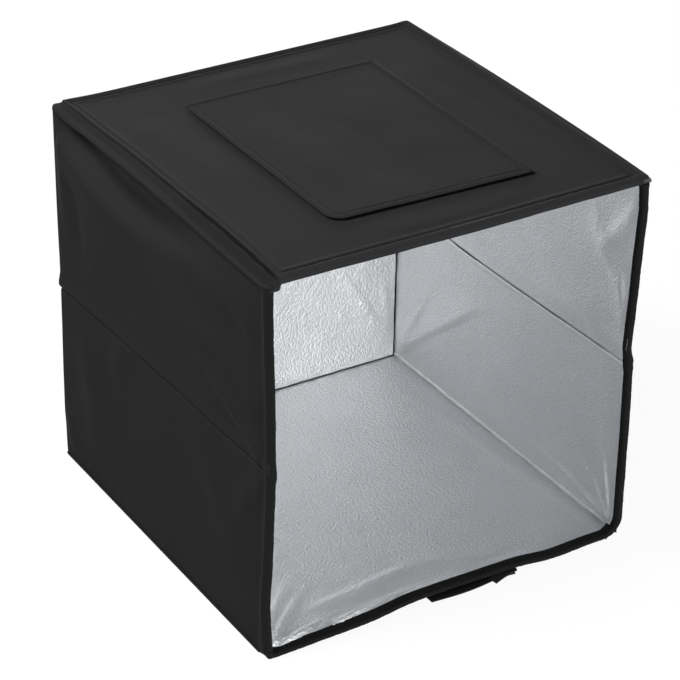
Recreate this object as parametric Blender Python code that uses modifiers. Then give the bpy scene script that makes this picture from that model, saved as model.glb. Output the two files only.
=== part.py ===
"""A folding light tent cube, open at the front, with a camera window and its flap in the top.

Every wall is a stiff board between a black outer skin and a silver lining. The side walls fold
inwards at mid height and the top comes straight down on them; the back wall folds forward on the floor.

Metres, +Z up. The origin is the centre of the floor's underside, the open front faces -Y.
"""

from math import atan2, cos, exp, hypot, pi, radians, sin

import bmesh
import bpy
from mathutils import Matrix, Vector

# The cube's outside, without the flap on its top and the strap before its front
WIDTH = 0.400
DEPTH = 0.4095
HEIGHT = 0.3926

# Sheets, from the inside of a wall to its outside
LINING = 0.0006
BOARD = 0.0020
SKIN = 0.0008

# Clearances
REST_GAP = 0.0003  # between pieces that are sewn together or lie on each other
SWING_GAP = 0.0005  # between pieces that move past each other

# Folds of the side skins, over the board
FOLD_ROOM = 0.0030  # height of the highest fold
FOLD_EDGE = 0.024  # the folds die out this far from a skin's edges
FAN_REACH = 0.150  # distance from the upper rear corner at which its fan of folds is highest

# Tape that binds the front edges
TAPE = 0.0008
TAPE_STACK = 0.0040  # outside of the bound edge, across the sheets
TAPE_LAP = 0.012  # how far it laps on the sheets
TAPE_RAMP = 0.004  # over this the sheets part again, round the board
TAPE_CORNER = 0.0045  # radius of its middle line at the lower corners

# Hems
HEM_CORNER = 0.005  # plan radius of the top's corners
BACK_CORNER = 0.003  # radius of the back wall's corners
EDGE_ROUND = 0.0003  # rounding of board edges

# Camera window in the top, and its flap
WINDOW_WIDTH = 0.152
WINDOW_DEPTH = 0.216
WINDOW_CORNER = 0.012
FLAP_WIDTH = 0.217
FLAP_DEPTH = 0.281
FLAP_CORNER = 0.004
FLAP_FRONT_CORNER = 0.016  # the front left corner is cut rounder
FLAP_SHIFT_X = 0.012  # centre of the flap and the window, from the centre of the top
FLAP_SHIFT_Y = -0.002
FLAP_LINING_INSET = 0.008
FLAP_SEAM_WIDTH = 0.005  # the hem that is sewn to the top
FLAP_SEAM = 0.0014
HOOK = 0.0006  # hook tape and loop tape
CLOSURE_WIDTH = 0.016
CLOSURE_INSET = 0.010  # from the flap's edge to its hook tape

# Light bars under the top, before and behind the window
LIGHT_END_ROOM = 0.043  # from the inside of a side wall to a bar's end
LIGHT_WIDTH = 0.014
LIGHT_HEIGHT = 0.0040
LIGHT_WALL = 0.0008
LIGHT_SETBACK = 0.040  # from the cube's front to the front bar's middle
LIGHT_BEHIND_WINDOW = 0.020  # from the window to the rear bar's middle
LED_BOARD = 0.0010
LED_BOARD_WIDTH = 0.0110
LED_SIZE = 0.0032
LED_HEIGHT = 0.0008
LED_SINK = 0.0002  # how far a chip's body reaches into the board
LED_COUNT = 18
CAP_LENGTH = 0.006
SOCKET_RADIUS = 0.0014
SOCKET_DEPTH = 0.0040
LIGHT_ROOM = 0.0060  # height kept free for the bars when the walls fold up under the top

# Closure strap, under the middle of the front edge
STRAP = 0.0015
STRAP_START_X = -0.022
STRAP_LENGTH = 0.096
STRAP_REACH = 0.0016  # how far it shows before the front edge
PAD_START_X = 0.0470
PAD_LENGTH = 0.031
PAD_REACH = 0.0088
PAD_TURN = radians(16)
PAD_SPREAD = 0.003  # the pad is this much wider on each side where it leaves the edge
PAD_END_X = PAD_START_X + PAD_LENGTH + PAD_SPREAD
EDGE_LIFT = 2 * (STRAP + REST_GAP)  # the front edge rises over the strap and its pad by this
LIFT_RUN = 0.050  # over this length it comes down again on each side

# Cutting tools reach past what they cut by this
OVERRUN = 0.0010

# Thickness of a flat wall, and of a side wall with its folds
PANEL = LINING + REST_GAP + BOARD + REST_GAP + SKIN
WALL = PANEL + FOLD_ROOM

# Depth of each sheet's middle below the inside face of its wall
LINING_MID = LINING / 2
SKIN_MID = PANEL - SKIN / 2

# Planes
FRONT = -DEPTH / 2
REAR = DEPTH / 2
WALL_REAR = REAR - PANEL - SWING_GAP
LAP_END = FRONT + TAPE_LAP
RAMP_END = LAP_END + TAPE_RAMP
BOARD_FRONT = RAMP_END + REST_GAP
INNER_X = WIDTH / 2 - WALL
FLOOR_TOP = PANEL
TOP_UNDER = HEIGHT - PANEL
LIGHT_LENGTH = 2 * (INNER_X - LIGHT_END_ROOM)

# Pivots: the back wall lies on the floor, and the folded side walls lie on it and under the light bars
BACK_PIVOT_Z = FLOOR_TOP + SWING_GAP
LOW_PIVOT_Z = BACK_PIVOT_Z + PANEL + SWING_GAP
HIGH_PIVOT_Z = TOP_UNDER - LIGHT_ROOM
MID_PIVOT_Z = (LOW_PIVOT_Z + HIGH_PIVOT_Z) / 2
MID_PIVOT_X = WIDTH / 2 + REST_GAP / 2

# The flap's stack on the top, from below
LOOP_LOW = HEIGHT + REST_GAP
HOOK_LOW = LOOP_LOW + HOOK + REST_GAP
FLAP_LINING_LOW = HOOK_LOW + HOOK + REST_GAP
FLAP_SKIN_LOW = FLAP_LINING_LOW + LINING + REST_GAP
FLAP_TOP = FLAP_SKIN_LOW + SKIN
FLAP_RIGHT = FLAP_SHIFT_X + FLAP_WIDTH / 2
FLAP_PIVOT_X = FLAP_RIGHT - FLAP_SEAM_WIDTH
FLAP_PIVOT_Z = (FLAP_TOP + LOOP_LOW + FLAP_SEAM + SWING_GAP) / 2

# Base colour, roughness and metallic value of each kind of material
FINISHES = {
    "skin": ((0.028, 0.028, 0.030), 0.48, 0.0),
    "lining": ((0.62, 0.64, 0.66), 0.34, 0.85),
    "board": ((0.16, 0.16, 0.17), 0.70, 0.0),
    "tape": ((0.012, 0.012, 0.012), 0.95, 0.0),
    "aluminium": ((0.70, 0.71, 0.72), 0.35, 1.0),
    "led_board": ((0.85, 0.85, 0.83), 0.45, 0.0),
    "plastic": ((0.03, 0.03, 0.03), 0.45, 0.0),
}

# Folds that fan out from the upper rear corner: direction and spread as shares of the quarter turn
# from straight down to straight forward, and height as a share of the room
FAN_SHARES = ((0.10, 0.055, 0.75), (0.27, 0.060, 1.00), (0.44, 0.050, 0.55), (0.62, 0.050, 0.85),
              (0.80, 0.045, 0.50))
# Slack folds that run down the lower half: place along its depth, spread, height
DRAPE_SHARES = ((0.22, 0.06, 0.35), (0.52, 0.07, 0.55), (0.80, 0.05, 0.45))
WALL_COLUMN_COUNT = 15
WALL_ROW_COUNT = 9
FLOOR_COLUMN_COUNT = 6  # on each side of the strap
ARC_STEPS = 4  # steps in a quarter turn
CREASE_ANGLE = radians(40)  # sheets show an edge where they bend by more


def clear_scene():
    """Removes what the open file holds."""
    for thing in list(bpy.data.objects):
        bpy.data.objects.remove(thing, do_unlink=True)
    for group in list(bpy.data.collections):
        bpy.data.collections.remove(group)


def new_collection(name):
    group = bpy.data.collections.new(name)
    bpy.context.scene.collection.children.link(group)
    return group


clear_scene()
PARTS = new_collection("light_tent_cube")
CUTTERS = new_collection("cutters")


class Body:
    """A group of pieces that move as one, under an empty on its joint's axis."""

    def __init__(self, name, pivot, carrier=None):
        self.pivot = Vector(pivot)
        self.empty = bpy.data.objects.new(name + "_pivot", None)
        self.empty.location = self.pivot - (carrier.pivot if carrier else Vector())
        self.empty.parent = carrier.empty if carrier else None
        PARTS.objects.link(self.empty)

    def add(self, piece, finish):
        """Puts a piece under the body's empty and gives it its own material."""
        PARTS.objects.link(piece)
        piece.parent = self.empty
        piece.location = piece.location - self.pivot
        material = bpy.data.materials.new(piece.name)
        material.use_nodes = True
        shader = material.node_tree.nodes["Principled BSDF"]
        colour, roughness, metallic = FINISHES[finish]
        shader.inputs["Base Color"].default_value = (*colour, 1)
        shader.inputs["Roughness"].default_value = roughness
        shader.inputs["Metallic"].default_value = metallic
        piece.data.materials.append(material)
        return piece


def smooth_step(value):
    """0 below 0, 1 above 1, and an S between them."""
    held = min(max(value, 0), 1)
    return held * held * (3 - 2 * held)


def spread(low, high, count):
    """Evenly spaced places from low to high, both included."""
    return [low + (high - low) * step / count for step in range(count + 1)]


def sheet(name, place, rows, columns, thickness):
    """A thin sheet: a grid whose point for each row and column is place(row, column), made thick."""
    mesh = bpy.data.meshes.new(name)
    grid = bmesh.new()
    bmesh.ops.create_grid(grid, x_segments=len(rows) - 1, y_segments=len(columns) - 1, size=0.5)
    for vert in grid.verts:
        row = rows[round((vert.co.x + 0.5) * (len(rows) - 1))]
        column = columns[round((vert.co.y + 0.5) * (len(columns) - 1))]
        vert.co = place(row, column)
    grid.to_mesh(mesh)
    grid.free()
    piece = bpy.data.objects.new(name, mesh)
    thicken = piece.modifiers.new("thickness", "SOLIDIFY")
    thicken.thickness = thickness
    thicken.offset = 0
    thicken.use_even_offset = True
    mesh.shade_smooth()
    mesh.set_sharp_from_angle(angle=CREASE_ANGLE)
    return piece


def block(name, low, high, rounding=EDGE_ROUND):
    """A box between two corners, with its edges eased."""
    low, high = Vector(low), Vector(high)
    size = high - low
    mesh = bpy.data.meshes.new(name)
    box = bmesh.new()
    bmesh.ops.create_cube(box, size=1, matrix=Matrix.Diagonal((*size, 1)))
    box.to_mesh(mesh)
    box.free()
    piece = bpy.data.objects.new(name, mesh)
    piece.location = (low + high) / 2
    if rounding:
        ease = piece.modifiers.new("eased edges", "BEVEL")
        ease.width = min(rounding, min(size) / 4)
        ease.segments = 1
    return piece


def rounded_outline(low, high, radii):
    """Corners of a flat outline from low to high; radii run from low-low anticlockwise."""
    centres = (
        (low[0] + radii[0], low[1] + radii[0], pi),
        (high[0] - radii[1], low[1] + radii[1], 3 * pi / 2),
        (high[0] - radii[2], high[1] - radii[2], 0),
        (low[0] + radii[3], high[1] - radii[3], pi / 2),
    )
    points = []
    for (x, y, start), radius in zip(centres, radii):
        for step in range(ARC_STEPS + 1):
            turn = start + pi / 2 * step / ARC_STEPS
            points.append((x + radius * cos(turn), y + radius * sin(turn)))
    return points


def plate(name, outlines, low, high):
    """A flat plate from z low to high. The first outline is its edge, the others are holes."""
    curve = bpy.data.curves.new(name, "CURVE")
    curve.dimensions = "2D"
    curve.fill_mode = "BOTH"
    curve.extrude = (high - low) / 2
    for outline in outlines:
        spline = curve.splines.new("POLY")
        spline.points.add(len(outline) - 1)
        for point, (x, y) in zip(spline.points, outline):
            point.co = (x, y, 0, 1)
        spline.use_cyclic_u = True
    drawn = bpy.data.objects.new(name, curve)
    bpy.context.scene.collection.objects.link(drawn)
    bpy.context.view_layer.update()
    ready = drawn.evaluated_get(bpy.context.evaluated_depsgraph_get())
    mesh = bpy.data.meshes.new_from_object(ready)
    bpy.data.objects.remove(drawn)
    welded = bmesh.new()
    welded.from_mesh(mesh)
    bmesh.ops.remove_doubles(welded, verts=welded.verts, dist=EDGE_ROUND / 10)
    bmesh.ops.recalc_face_normals(welded, faces=welded.faces)
    welded.to_mesh(mesh)
    welded.free()
    mesh.name = name
    piece = bpy.data.objects.new(name, mesh)
    piece.location = (0, 0, (low + high) / 2)
    return piece


def combine(piece, tool, body, operation):
    """Cuts a piece by a tool, or joins the tool to it. The tool goes with the piece's body."""
    CUTTERS.objects.link(tool)
    tool.parent = body.empty
    tool.location = tool.location - body.pivot
    tool.hide_render = True
    tool.display_type = "WIRE"
    change = piece.modifiers.new(operation.lower(), "BOOLEAN")
    change.operation = operation
    change.object = tool
    change.solver = "EXACT"


def pinched(nominal, side, bound_mid, sheet_thickness):
    """Depth profile of a sheet along the cube's depth: held in the tape first, round the board after.

    side is 1 for the outer sheet and -1 for the lining. Each entry is a place and a depth."""
    held = bound_mid + side * (TAPE_STACK / 2 - TAPE - REST_GAP - sheet_thickness / 2)
    return [(FRONT + TAPE_STACK / 2, held), (LAP_END, held), (RAMP_END, nominal)]


def tape_profile():
    """The tape's section: down one lap, round the front edge and back, as places and offsets."""
    radius = TAPE_STACK / 2 - TAPE / 2
    centre = FRONT + TAPE_STACK / 2
    turns = [(centre - radius * sin(pi * step / (2 * ARC_STEPS)), radius * cos(pi * step / (2 * ARC_STEPS)))
             for step in range(2 * ARC_STEPS + 1)]
    return [(LAP_END, radius)] + turns + [(LAP_END, -radius)]


def fan_lift(y, z):
    """Folds of an upper side skin, which fan out from its upper rear corner."""
    forward, down = WALL_REAR - y, HIGH_PIVOT_Z - z
    reach = hypot(forward, down) / FAN_REACH
    turn = atan2(forward, down) / (pi / 2)
    height = sum(share * exp(-(((turn - at) / spread_share) ** 2)) for at, spread_share, share in FAN_SHARES)
    return min(height, 1) * reach * exp(1 - reach)


def drape_lift(y, z):
    """Slack folds of a lower side skin, which fade towards the floor."""
    along = (y - FRONT) / (WALL_REAR - FRONT)
    up = (z - LOW_PIVOT_Z) / (MID_PIVOT_Z - LOW_PIVOT_Z)
    height = sum(share * exp(-(((along - at) / spread_share) ** 2)) for at, spread_share, share in DRAPE_SHARES)
    return height * up


def edge_fade(y, z, low, high):
    """1 inside a side skin, 0 at its edges."""
    nearest = min(y - RAMP_END, WALL_REAR - y, z - low, high - z)
    return smooth_step(nearest / FOLD_EDGE)


def side_wall(side_name, side, floor_body):
    """Both halves of a side wall. side is -1 on the left and 1 on the right. Returns the upper one's body."""
    lower = Body(f"{side_name}_lower", (side * INNER_X, 0, LOW_PIVOT_Z), floor_body)
    wall_half(f"{side_name}_lower", side, LOW_PIVOT_Z + REST_GAP, MID_PIVOT_Z - REST_GAP, drape_lift, lower)
    upper = Body(f"{side_name}_upper", (side * MID_PIVOT_X, 0, MID_PIVOT_Z), lower)
    wall_half(f"{side_name}_upper", side, MID_PIVOT_Z + REST_GAP, HIGH_PIVOT_Z - REST_GAP, fan_lift, upper)
    return upper


def wall_half(prefix, side, low, high, lift, body):
    """The board, skin, lining and binding of half a side wall, from z low to high."""
    bound_mid = WALL - TAPE_STACK / 2
    rows = spread(low, high, WALL_ROW_COUNT)

    def place(entry, z):
        y, depth = entry
        return Vector((side * (INNER_X + depth), y, z)) - body.pivot

    def place_skin(entry, z):
        y, depth = entry
        raised = FOLD_ROOM * lift(y, z) * edge_fade(y, z, low, high)
        return place((y, depth + raised), z)

    lip_mid = WALL_REAR - SKIN / 2
    columns = pinched(SKIN_MID, 1, bound_mid, SKIN)
    columns += [(y, SKIN_MID) for y in spread(RAMP_END, lip_mid, WALL_COLUMN_COUNT)[1:]]
    columns.append((lip_mid, SKIN / 2))
    place_body(sheet(prefix + "_skin", place_skin, columns, rows, SKIN), body, "skin")

    columns = pinched(LINING_MID, -1, bound_mid, LINING)
    columns.append((WALL_REAR - SKIN - REST_GAP, LINING_MID))
    place_body(sheet(prefix + "_lining", place, columns, [low, high], LINING), body, "lining")

    profile = [(y, bound_mid + offset) for y, offset in tape_profile()]
    place_body(sheet(prefix + "_binding", place, profile, [low, high], TAPE), body, "tape")

    depths = sorted((side * (INNER_X + LINING + REST_GAP), side * (INNER_X + LINING + REST_GAP + BOARD)))
    body.add(block(prefix + "_board", (depths[0], BOARD_FRONT, low),
                   (depths[1], WALL_REAR - SKIN - REST_GAP, high)), "board")


def place_body(piece, body, finish):
    """Adds a sheet whose points are already given from the body's pivot."""
    piece.location = body.pivot
    return body.add(piece, finish)


def floor_lift(x, y):
    """How far the floor's front edge rises over the strap and its pad."""
    beyond = max(STRAP_START_X - x, x - PAD_END_X)
    return EDGE_LIFT * (1 - smooth_step(beyond / LIFT_RUN)) * (1 - smooth_step((y - LAP_END) / TAPE_RAMP))


def floor(body):
    """The floor's board, sheets, front tape and the seams that carry the walls."""
    half = WIDTH / 2 - SKIN - REST_GAP
    inside = WIDTH / 2 - TAPE_STACK - TAPE_CORNER
    bound_mid = TAPE_STACK / 2
    middle_columns = (spread(-inside, STRAP_START_X, FLOOR_COLUMN_COUNT)
                      + spread(PAD_END_X, inside, FLOOR_COLUMN_COUNT))

    def place(entry, x):
        y, depth = entry
        across = x if y <= LAP_END else x * half / inside
        return Vector((across, y, FLOOR_TOP - depth + floor_lift(across, y)))

    rear_mid = REAR - SKIN - REST_GAP - SKIN / 2
    rows = pinched(SKIN_MID, 1, bound_mid, SKIN) + [(rear_mid, SKIN_MID), (rear_mid, SKIN / 2)]
    body.add(sheet("floor_skin", place, rows, middle_columns, SKIN), "skin")

    rows = pinched(LINING_MID, -1, bound_mid, LINING) + [(rear_mid - SKIN / 2 - REST_GAP, LINING_MID)]
    body.add(sheet("floor_lining", place, rows, middle_columns, LINING), "lining")

    low = FLOOR_TOP - LINING - REST_GAP - BOARD
    body.add(block("floor_board", (-half, BOARD_FRONT, low),
                   (half, rear_mid - SKIN / 2 - REST_GAP, low + BOARD)), "board")
    body.add(sheet("floor_binding", place_round_tape, tape_profile(), floor_tape_path(middle_columns), TAPE),
             "tape")
    for side_name, side in (("left", -1), ("right", 1)):
        body.add(floor_side_seam(f"floor_{side_name}_seam", side), "skin")
    body.add(block("floor_back_seam", (-INNER_X, REAR - SKIN, 0), (INNER_X, REAR, BACK_PIVOT_Z)), "skin")


def floor_tape_path(middle_columns):
    """Middle line of the floor's tape from the left post to the right one, as places and normals."""
    outer = WIDTH / 2 - TAPE_STACK / 2
    centre_z = TAPE_STACK / 2 + TAPE_CORNER
    path = [((-outer, LOW_PIVOT_Z - REST_GAP), (-1, 0))]
    for step in range(ARC_STEPS + 1):
        turn = pi + pi / 2 * step / ARC_STEPS
        spot = (-outer + TAPE_CORNER * (1 + cos(turn)), centre_z + TAPE_CORNER * sin(turn))
        path.append((spot, (cos(turn), sin(turn))))
    path += [((x, TAPE_STACK / 2), (0, -1)) for x in middle_columns[1:-1]]
    mirrored = [((-x, z), (-across, up)) for (x, z), (across, up) in path[:ARC_STEPS + 2]]
    return path + mirrored[::-1]


def place_round_tape(entry, station):
    """A point of the floor's tape: offset across its middle line, and raised over the strap."""
    y, offset = entry
    (x, z), (across, up) = station
    return Vector((x + across * offset, y, z + up * offset + floor_lift(x, FRONT)))


def floor_side_seam(name, side):
    """The strip that joins the floor to a side wall: in the tape's post first, then down to the table."""
    post_low = TAPE_STACK / 2 + TAPE_CORNER
    bound_mid = WALL - TAPE_STACK / 2

    def place(entry, share):
        y, depth = entry
        low = post_low if y <= LAP_END else 0
        return Vector((side * (INNER_X + depth), y, low + (LOW_PIVOT_Z - REST_GAP - low) * share))

    outside = WALL - SKIN / 2
    rows = pinched(outside, 1, bound_mid, SKIN) + [(WALL_REAR, outside)]
    return sheet(name, place, rows, (0, 1), SKIN)


def closure_strap(body):
    """The webbing strap under the front edge, with its hook pad."""
    under = LAP_END - REST_GAP
    end = STRAP_START_X + STRAP_LENGTH
    strap = plate("closure_strap", [rounded_outline((STRAP_START_X, FRONT - STRAP_REACH), (end, under),
                                                    (STRAP, STRAP, STRAP, STRAP))], 0, STRAP)
    body.add(strap, "tape")
    first = Vector((PAD_START_X, FRONT - PAD_REACH))
    second = first + PAD_LENGTH * Vector((cos(PAD_TURN), sin(PAD_TURN)))
    outline = [tuple(first), tuple(second), (second.x + PAD_SPREAD, under), (first.x - PAD_SPREAD, under)]
    low = STRAP + REST_GAP
    body.add(plate("closure_hook_pad", [outline], low, low + STRAP), "tape")


def window_outline():
    """The camera window, in the middle under its flap."""
    half_x, half_y = WINDOW_WIDTH / 2, WINDOW_DEPTH / 2
    return rounded_outline((FLAP_SHIFT_X - half_x, FLAP_SHIFT_Y - half_y),
                           (FLAP_SHIFT_X + half_x, FLAP_SHIFT_Y + half_y), (WINDOW_CORNER,) * 4)


def top(body):
    """The top's sheets with the camera window, and the seams that carry it."""
    half = WIDTH / 2 - REST_GAP
    inset = SKIN + REST_GAP

    def outline(grow):
        radius = HEM_CORNER + grow
        return rounded_outline((-half - grow, FRONT - grow), (half + grow, WALL_REAR + grow), (radius,) * 4)

    skin = plate("top_skin", [outline(0), window_outline()], TOP_UNDER, HEIGHT)
    hollow = plate("top_skin_hollow", [outline(-SKIN)], TOP_UNDER - OVERRUN, HEIGHT - SKIN)
    combine(skin, hollow, body, "DIFFERENCE")
    body.add(skin, "skin")
    board_low = TOP_UNDER + LINING + REST_GAP
    body.add(plate("top_board", [outline(-inset), window_outline()], board_low, board_low + BOARD), "board")
    body.add(plate("top_lining", [outline(-inset), window_outline()], TOP_UNDER, TOP_UNDER + LINING), "lining")
    low = HIGH_PIVOT_Z + REST_GAP
    for side_name, side in (("left", -1), ("right", 1)):
        across = sorted((side * (half - SKIN), side * half))
        body.add(block(f"top_{side_name}_seam", (across[0], FRONT + HEM_CORNER, low),
                       (across[1], WALL_REAR, TOP_UNDER - REST_GAP)), "skin")


def u_strip(name, low_corner, high_corner, width, low, high):
    """A strip of tape round three sides of a rectangle, open to the right, from z low to high."""
    (x0, y0), (x1, y1) = low_corner, high_corner
    outline = [(x0, y0), (x1, y0), (x1, y0 + width), (x0 + width, y0 + width),
               (x0 + width, y1 - width), (x1, y1 - width), (x1, y1), (x0, y1)]
    return plate(name, [outline], low, high)


def window_closure(top_body, flap_body):
    """The loop tape round the window and the hook tape under the flap."""
    inset = CLOSURE_INSET
    low_corner = (FLAP_SHIFT_X - FLAP_WIDTH / 2 + inset, FLAP_SHIFT_Y - FLAP_DEPTH / 2 + inset)
    high_corner = (FLAP_PIVOT_X - inset, FLAP_SHIFT_Y + FLAP_DEPTH / 2 - inset)
    top_body.add(u_strip("window_loop_tape", low_corner, high_corner, CLOSURE_WIDTH, LOOP_LOW,
                         LOOP_LOW + HOOK), "tape")
    flap_body.add(u_strip("flap_hook_tape", low_corner, high_corner, CLOSURE_WIDTH, HOOK_LOW,
                          HOOK_LOW + HOOK), "tape")


def flap(top_body, body):
    """The window's flap, its lining, and the hem by which it is sewn to the top on the right."""
    low = (FLAP_SHIFT_X - FLAP_WIDTH / 2, FLAP_SHIFT_Y - FLAP_DEPTH / 2)
    high = (FLAP_PIVOT_X - REST_GAP, FLAP_SHIFT_Y + FLAP_DEPTH / 2)
    radii = (FLAP_FRONT_CORNER, FLAP_CORNER, FLAP_CORNER, FLAP_CORNER)
    body.add(plate("flap_skin", [rounded_outline(low, high, radii)], FLAP_SKIN_LOW, FLAP_TOP), "skin")
    inset = FLAP_LINING_INSET
    inner = rounded_outline((low[0] + inset, low[1] + inset), (high[0], high[1] - inset), radii)
    body.add(plate("flap_lining", [inner], FLAP_LINING_LOW, FLAP_LINING_LOW + LINING), "lining")
    top_body.add(block("flap_seam", (FLAP_PIVOT_X, low[1], LOOP_LOW), (FLAP_RIGHT, high[1], LOOP_LOW + FLAP_SEAM)),
                 "skin")


def light_bar(name, y, body):
    """A light bar under the top: hook tape, channel, board with its light chips, and end caps."""
    half, side = LIGHT_LENGTH / 2, LIGHT_WIDTH / 2
    hook_high = TOP_UNDER - REST_GAP
    high = hook_high - HOOK - REST_GAP
    low = high - LIGHT_HEIGHT
    body.add(block(name + "_hook_tape", (-half, y - side, hook_high - HOOK), (half, y + side, hook_high)), "tape")

    channel = block(name + "_channel", (-half, y - side, low), (half, y + side, high))
    tool = block(name + "_channel_hollow", (-half - OVERRUN, y - side + LIGHT_WALL, low - OVERRUN),
                 (half + OVERRUN, y + side - LIGHT_WALL, high - LIGHT_WALL), 0)
    combine(channel, tool, body, "DIFFERENCE")
    body.add(channel, "aluminium")

    board_high = high - LIGHT_WALL - REST_GAP
    board_low = board_high - LED_BOARD
    board_half = half - CAP_LENGTH / 2 - REST_GAP
    board = block(name + "_leds", (-board_half, y - LED_BOARD_WIDTH / 2, board_low),
                  (board_half, y + LED_BOARD_WIDTH / 2, board_high), 0)
    pitch = 2 * board_half / LED_COUNT
    chips = bmesh.new()
    for number in range(LED_COUNT):
        place = Vector((-board_half + pitch * (number + 0.5), y, board_low - (LED_HEIGHT - LED_SINK) / 2))
        size = Vector((LED_SIZE, LED_SIZE, LED_HEIGHT + LED_SINK))
        bmesh.ops.create_cube(chips, size=1, matrix=Matrix.Translation(place) @ Matrix.Diagonal((*size, 1)))
    mesh = bpy.data.meshes.new(name + "_chips")
    chips.to_mesh(mesh)
    chips.free()
    combine(board, bpy.data.objects.new(name + "_chips", mesh), body, "UNION")
    body.add(board, "led_board")

    for side_name, turn in (("left", -1), ("right", 1)):
        ends = sorted((turn * (half + CAP_LENGTH / 2), turn * (half + REST_GAP)))
        cap = block(f"{name}_{side_name}_cap", (ends[0], y - side, low), (ends[1], y + side, high))
        if side_name == "right":
            combine(cap, socket_cutter(name, (ends[1], y, (low + high) / 2)), body, "DIFFERENCE")
        body.add(cap, "plastic")


def socket_cutter(name, mouth):
    """The round inlet in a light bar's right end cap."""
    mesh = bpy.data.meshes.new(name + "_socket")
    hole = bmesh.new()
    bmesh.ops.create_cone(hole, cap_ends=True, segments=4 * ARC_STEPS, radius1=SOCKET_RADIUS,
                          radius2=SOCKET_RADIUS, depth=SOCKET_DEPTH, matrix=Matrix.Rotation(pi / 2, 4, "Y"))
    hole.to_mesh(mesh)
    hole.free()
    tool = bpy.data.objects.new(name + "_socket", mesh)
    tool.location = mouth
    return tool


def back_wall(body):
    """The back wall. It stands behind the side walls and the top, and passes between them."""
    half = INNER_X - SWING_GAP
    low = BACK_PIVOT_Z + REST_GAP
    high = TOP_UNDER - SWING_GAP - REST_GAP
    upright = Matrix.Rotation(pi / 2, 4, "X")

    def outline(grow):
        radius = BACK_CORNER + grow
        return rounded_outline((-half - grow, low - grow), (half + grow, high + grow), (radius,) * 4)

    def stand(piece):
        """Turns a plate that was drawn lying: its outline's second axis goes up, its z to the front."""
        centre = piece.location.z
        piece.data.transform(upright)
        piece.location = (0, -centre, 0)
        return piece

    skin = plate("back_skin", [outline(0)], -REAR, PANEL - REAR)
    hollow = plate("back_skin_hollow", [outline(-SKIN)], SKIN - REAR, PANEL + OVERRUN - REAR)
    combine(stand(skin), stand(hollow), body, "DIFFERENCE")
    body.add(skin, "skin")
    inset = SKIN + REST_GAP
    board_low = SKIN + REST_GAP - REAR
    body.add(stand(plate("back_board", [outline(-inset)], board_low, board_low + BOARD)), "board")
    body.add(stand(plate("back_lining", [outline(-inset)], PANEL - LINING - REAR, PANEL - REAR)), "lining")


def build():
    """Models every body, each under the one that carries it."""
    floor_body = Body("floor", (0, 0, 0))
    floor(floor_body)
    closure_strap(floor_body)

    side_wall("right", 1, floor_body)
    left_upper = side_wall("left", -1, floor_body)

    top_body = Body("top", (-INNER_X, 0, HIGH_PIVOT_Z), left_upper)
    top(top_body)
    flap_body = Body("flap", (FLAP_PIVOT_X, FLAP_SHIFT_Y, FLAP_PIVOT_Z), top_body)
    flap(top_body, flap_body)
    window_closure(top_body, flap_body)
    light_bar("front_light", FRONT + LIGHT_SETBACK, top_body)
    light_bar("rear_light", FLAP_SHIFT_Y + WINDOW_DEPTH / 2 + LIGHT_BEHIND_WINDOW, top_body)

    back_body = Body("back", (0, REAR - PANEL, BACK_PIVOT_Z), floor_body)
    back_wall(back_body)


build()
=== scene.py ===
"""Looks of the folding light tent cube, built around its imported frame.

Each cloth surface is a grid of points: the wall's plane, the bow of the slack wall, folds whose
courses are written in millimetres on that plane, hems and small lumps.
Metres, +Z up, the open front faces -Y, as in the frame.
"""

from functools import reduce
from math import cos, pi, radians, sin

import bpy
import numpy as np
from mathutils import Matrix, Vector

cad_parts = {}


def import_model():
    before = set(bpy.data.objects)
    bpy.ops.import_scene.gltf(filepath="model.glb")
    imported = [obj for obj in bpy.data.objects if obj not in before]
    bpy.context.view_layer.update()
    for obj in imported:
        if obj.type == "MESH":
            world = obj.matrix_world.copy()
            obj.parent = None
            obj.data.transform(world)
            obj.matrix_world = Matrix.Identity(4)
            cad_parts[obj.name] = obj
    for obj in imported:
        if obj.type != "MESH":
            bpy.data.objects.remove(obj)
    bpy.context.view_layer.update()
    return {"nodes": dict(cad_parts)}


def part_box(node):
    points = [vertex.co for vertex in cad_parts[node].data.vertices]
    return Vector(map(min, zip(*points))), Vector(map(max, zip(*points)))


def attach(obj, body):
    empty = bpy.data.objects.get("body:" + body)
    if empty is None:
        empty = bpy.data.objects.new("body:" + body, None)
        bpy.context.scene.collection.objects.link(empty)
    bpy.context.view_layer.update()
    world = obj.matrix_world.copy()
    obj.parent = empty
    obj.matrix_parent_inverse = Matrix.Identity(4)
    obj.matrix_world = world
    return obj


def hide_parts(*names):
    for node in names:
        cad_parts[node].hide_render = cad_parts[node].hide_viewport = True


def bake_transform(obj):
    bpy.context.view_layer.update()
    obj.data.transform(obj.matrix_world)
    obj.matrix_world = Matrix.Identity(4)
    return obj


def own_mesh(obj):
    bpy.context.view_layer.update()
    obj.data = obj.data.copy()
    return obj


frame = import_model()

MM = 0.001

# Camera, fitted to the cube's corners
AZIMUTH = radians(-32.01)
ELEVATION = radians(29.86)
ROLL = radians(1.13)
DISTANCE = 2.874
TARGET = Vector((-0.0015, 0.0, 0.1789))
LENS = 156.35
SENSOR = 36.0

# Sheets and clearances
LINING = 0.6 * MM
SKIN = 0.8 * MM
GAP = 0.3 * MM
FINE = 1.2 * MM  # grid of tapes
STEP = 2.4 * MM  # grid of the cloth that shows most
COARSE = 4.0 * MM  # grid of hidden cloth
SHARP = radians(50)  # bends above this stay creases

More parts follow.
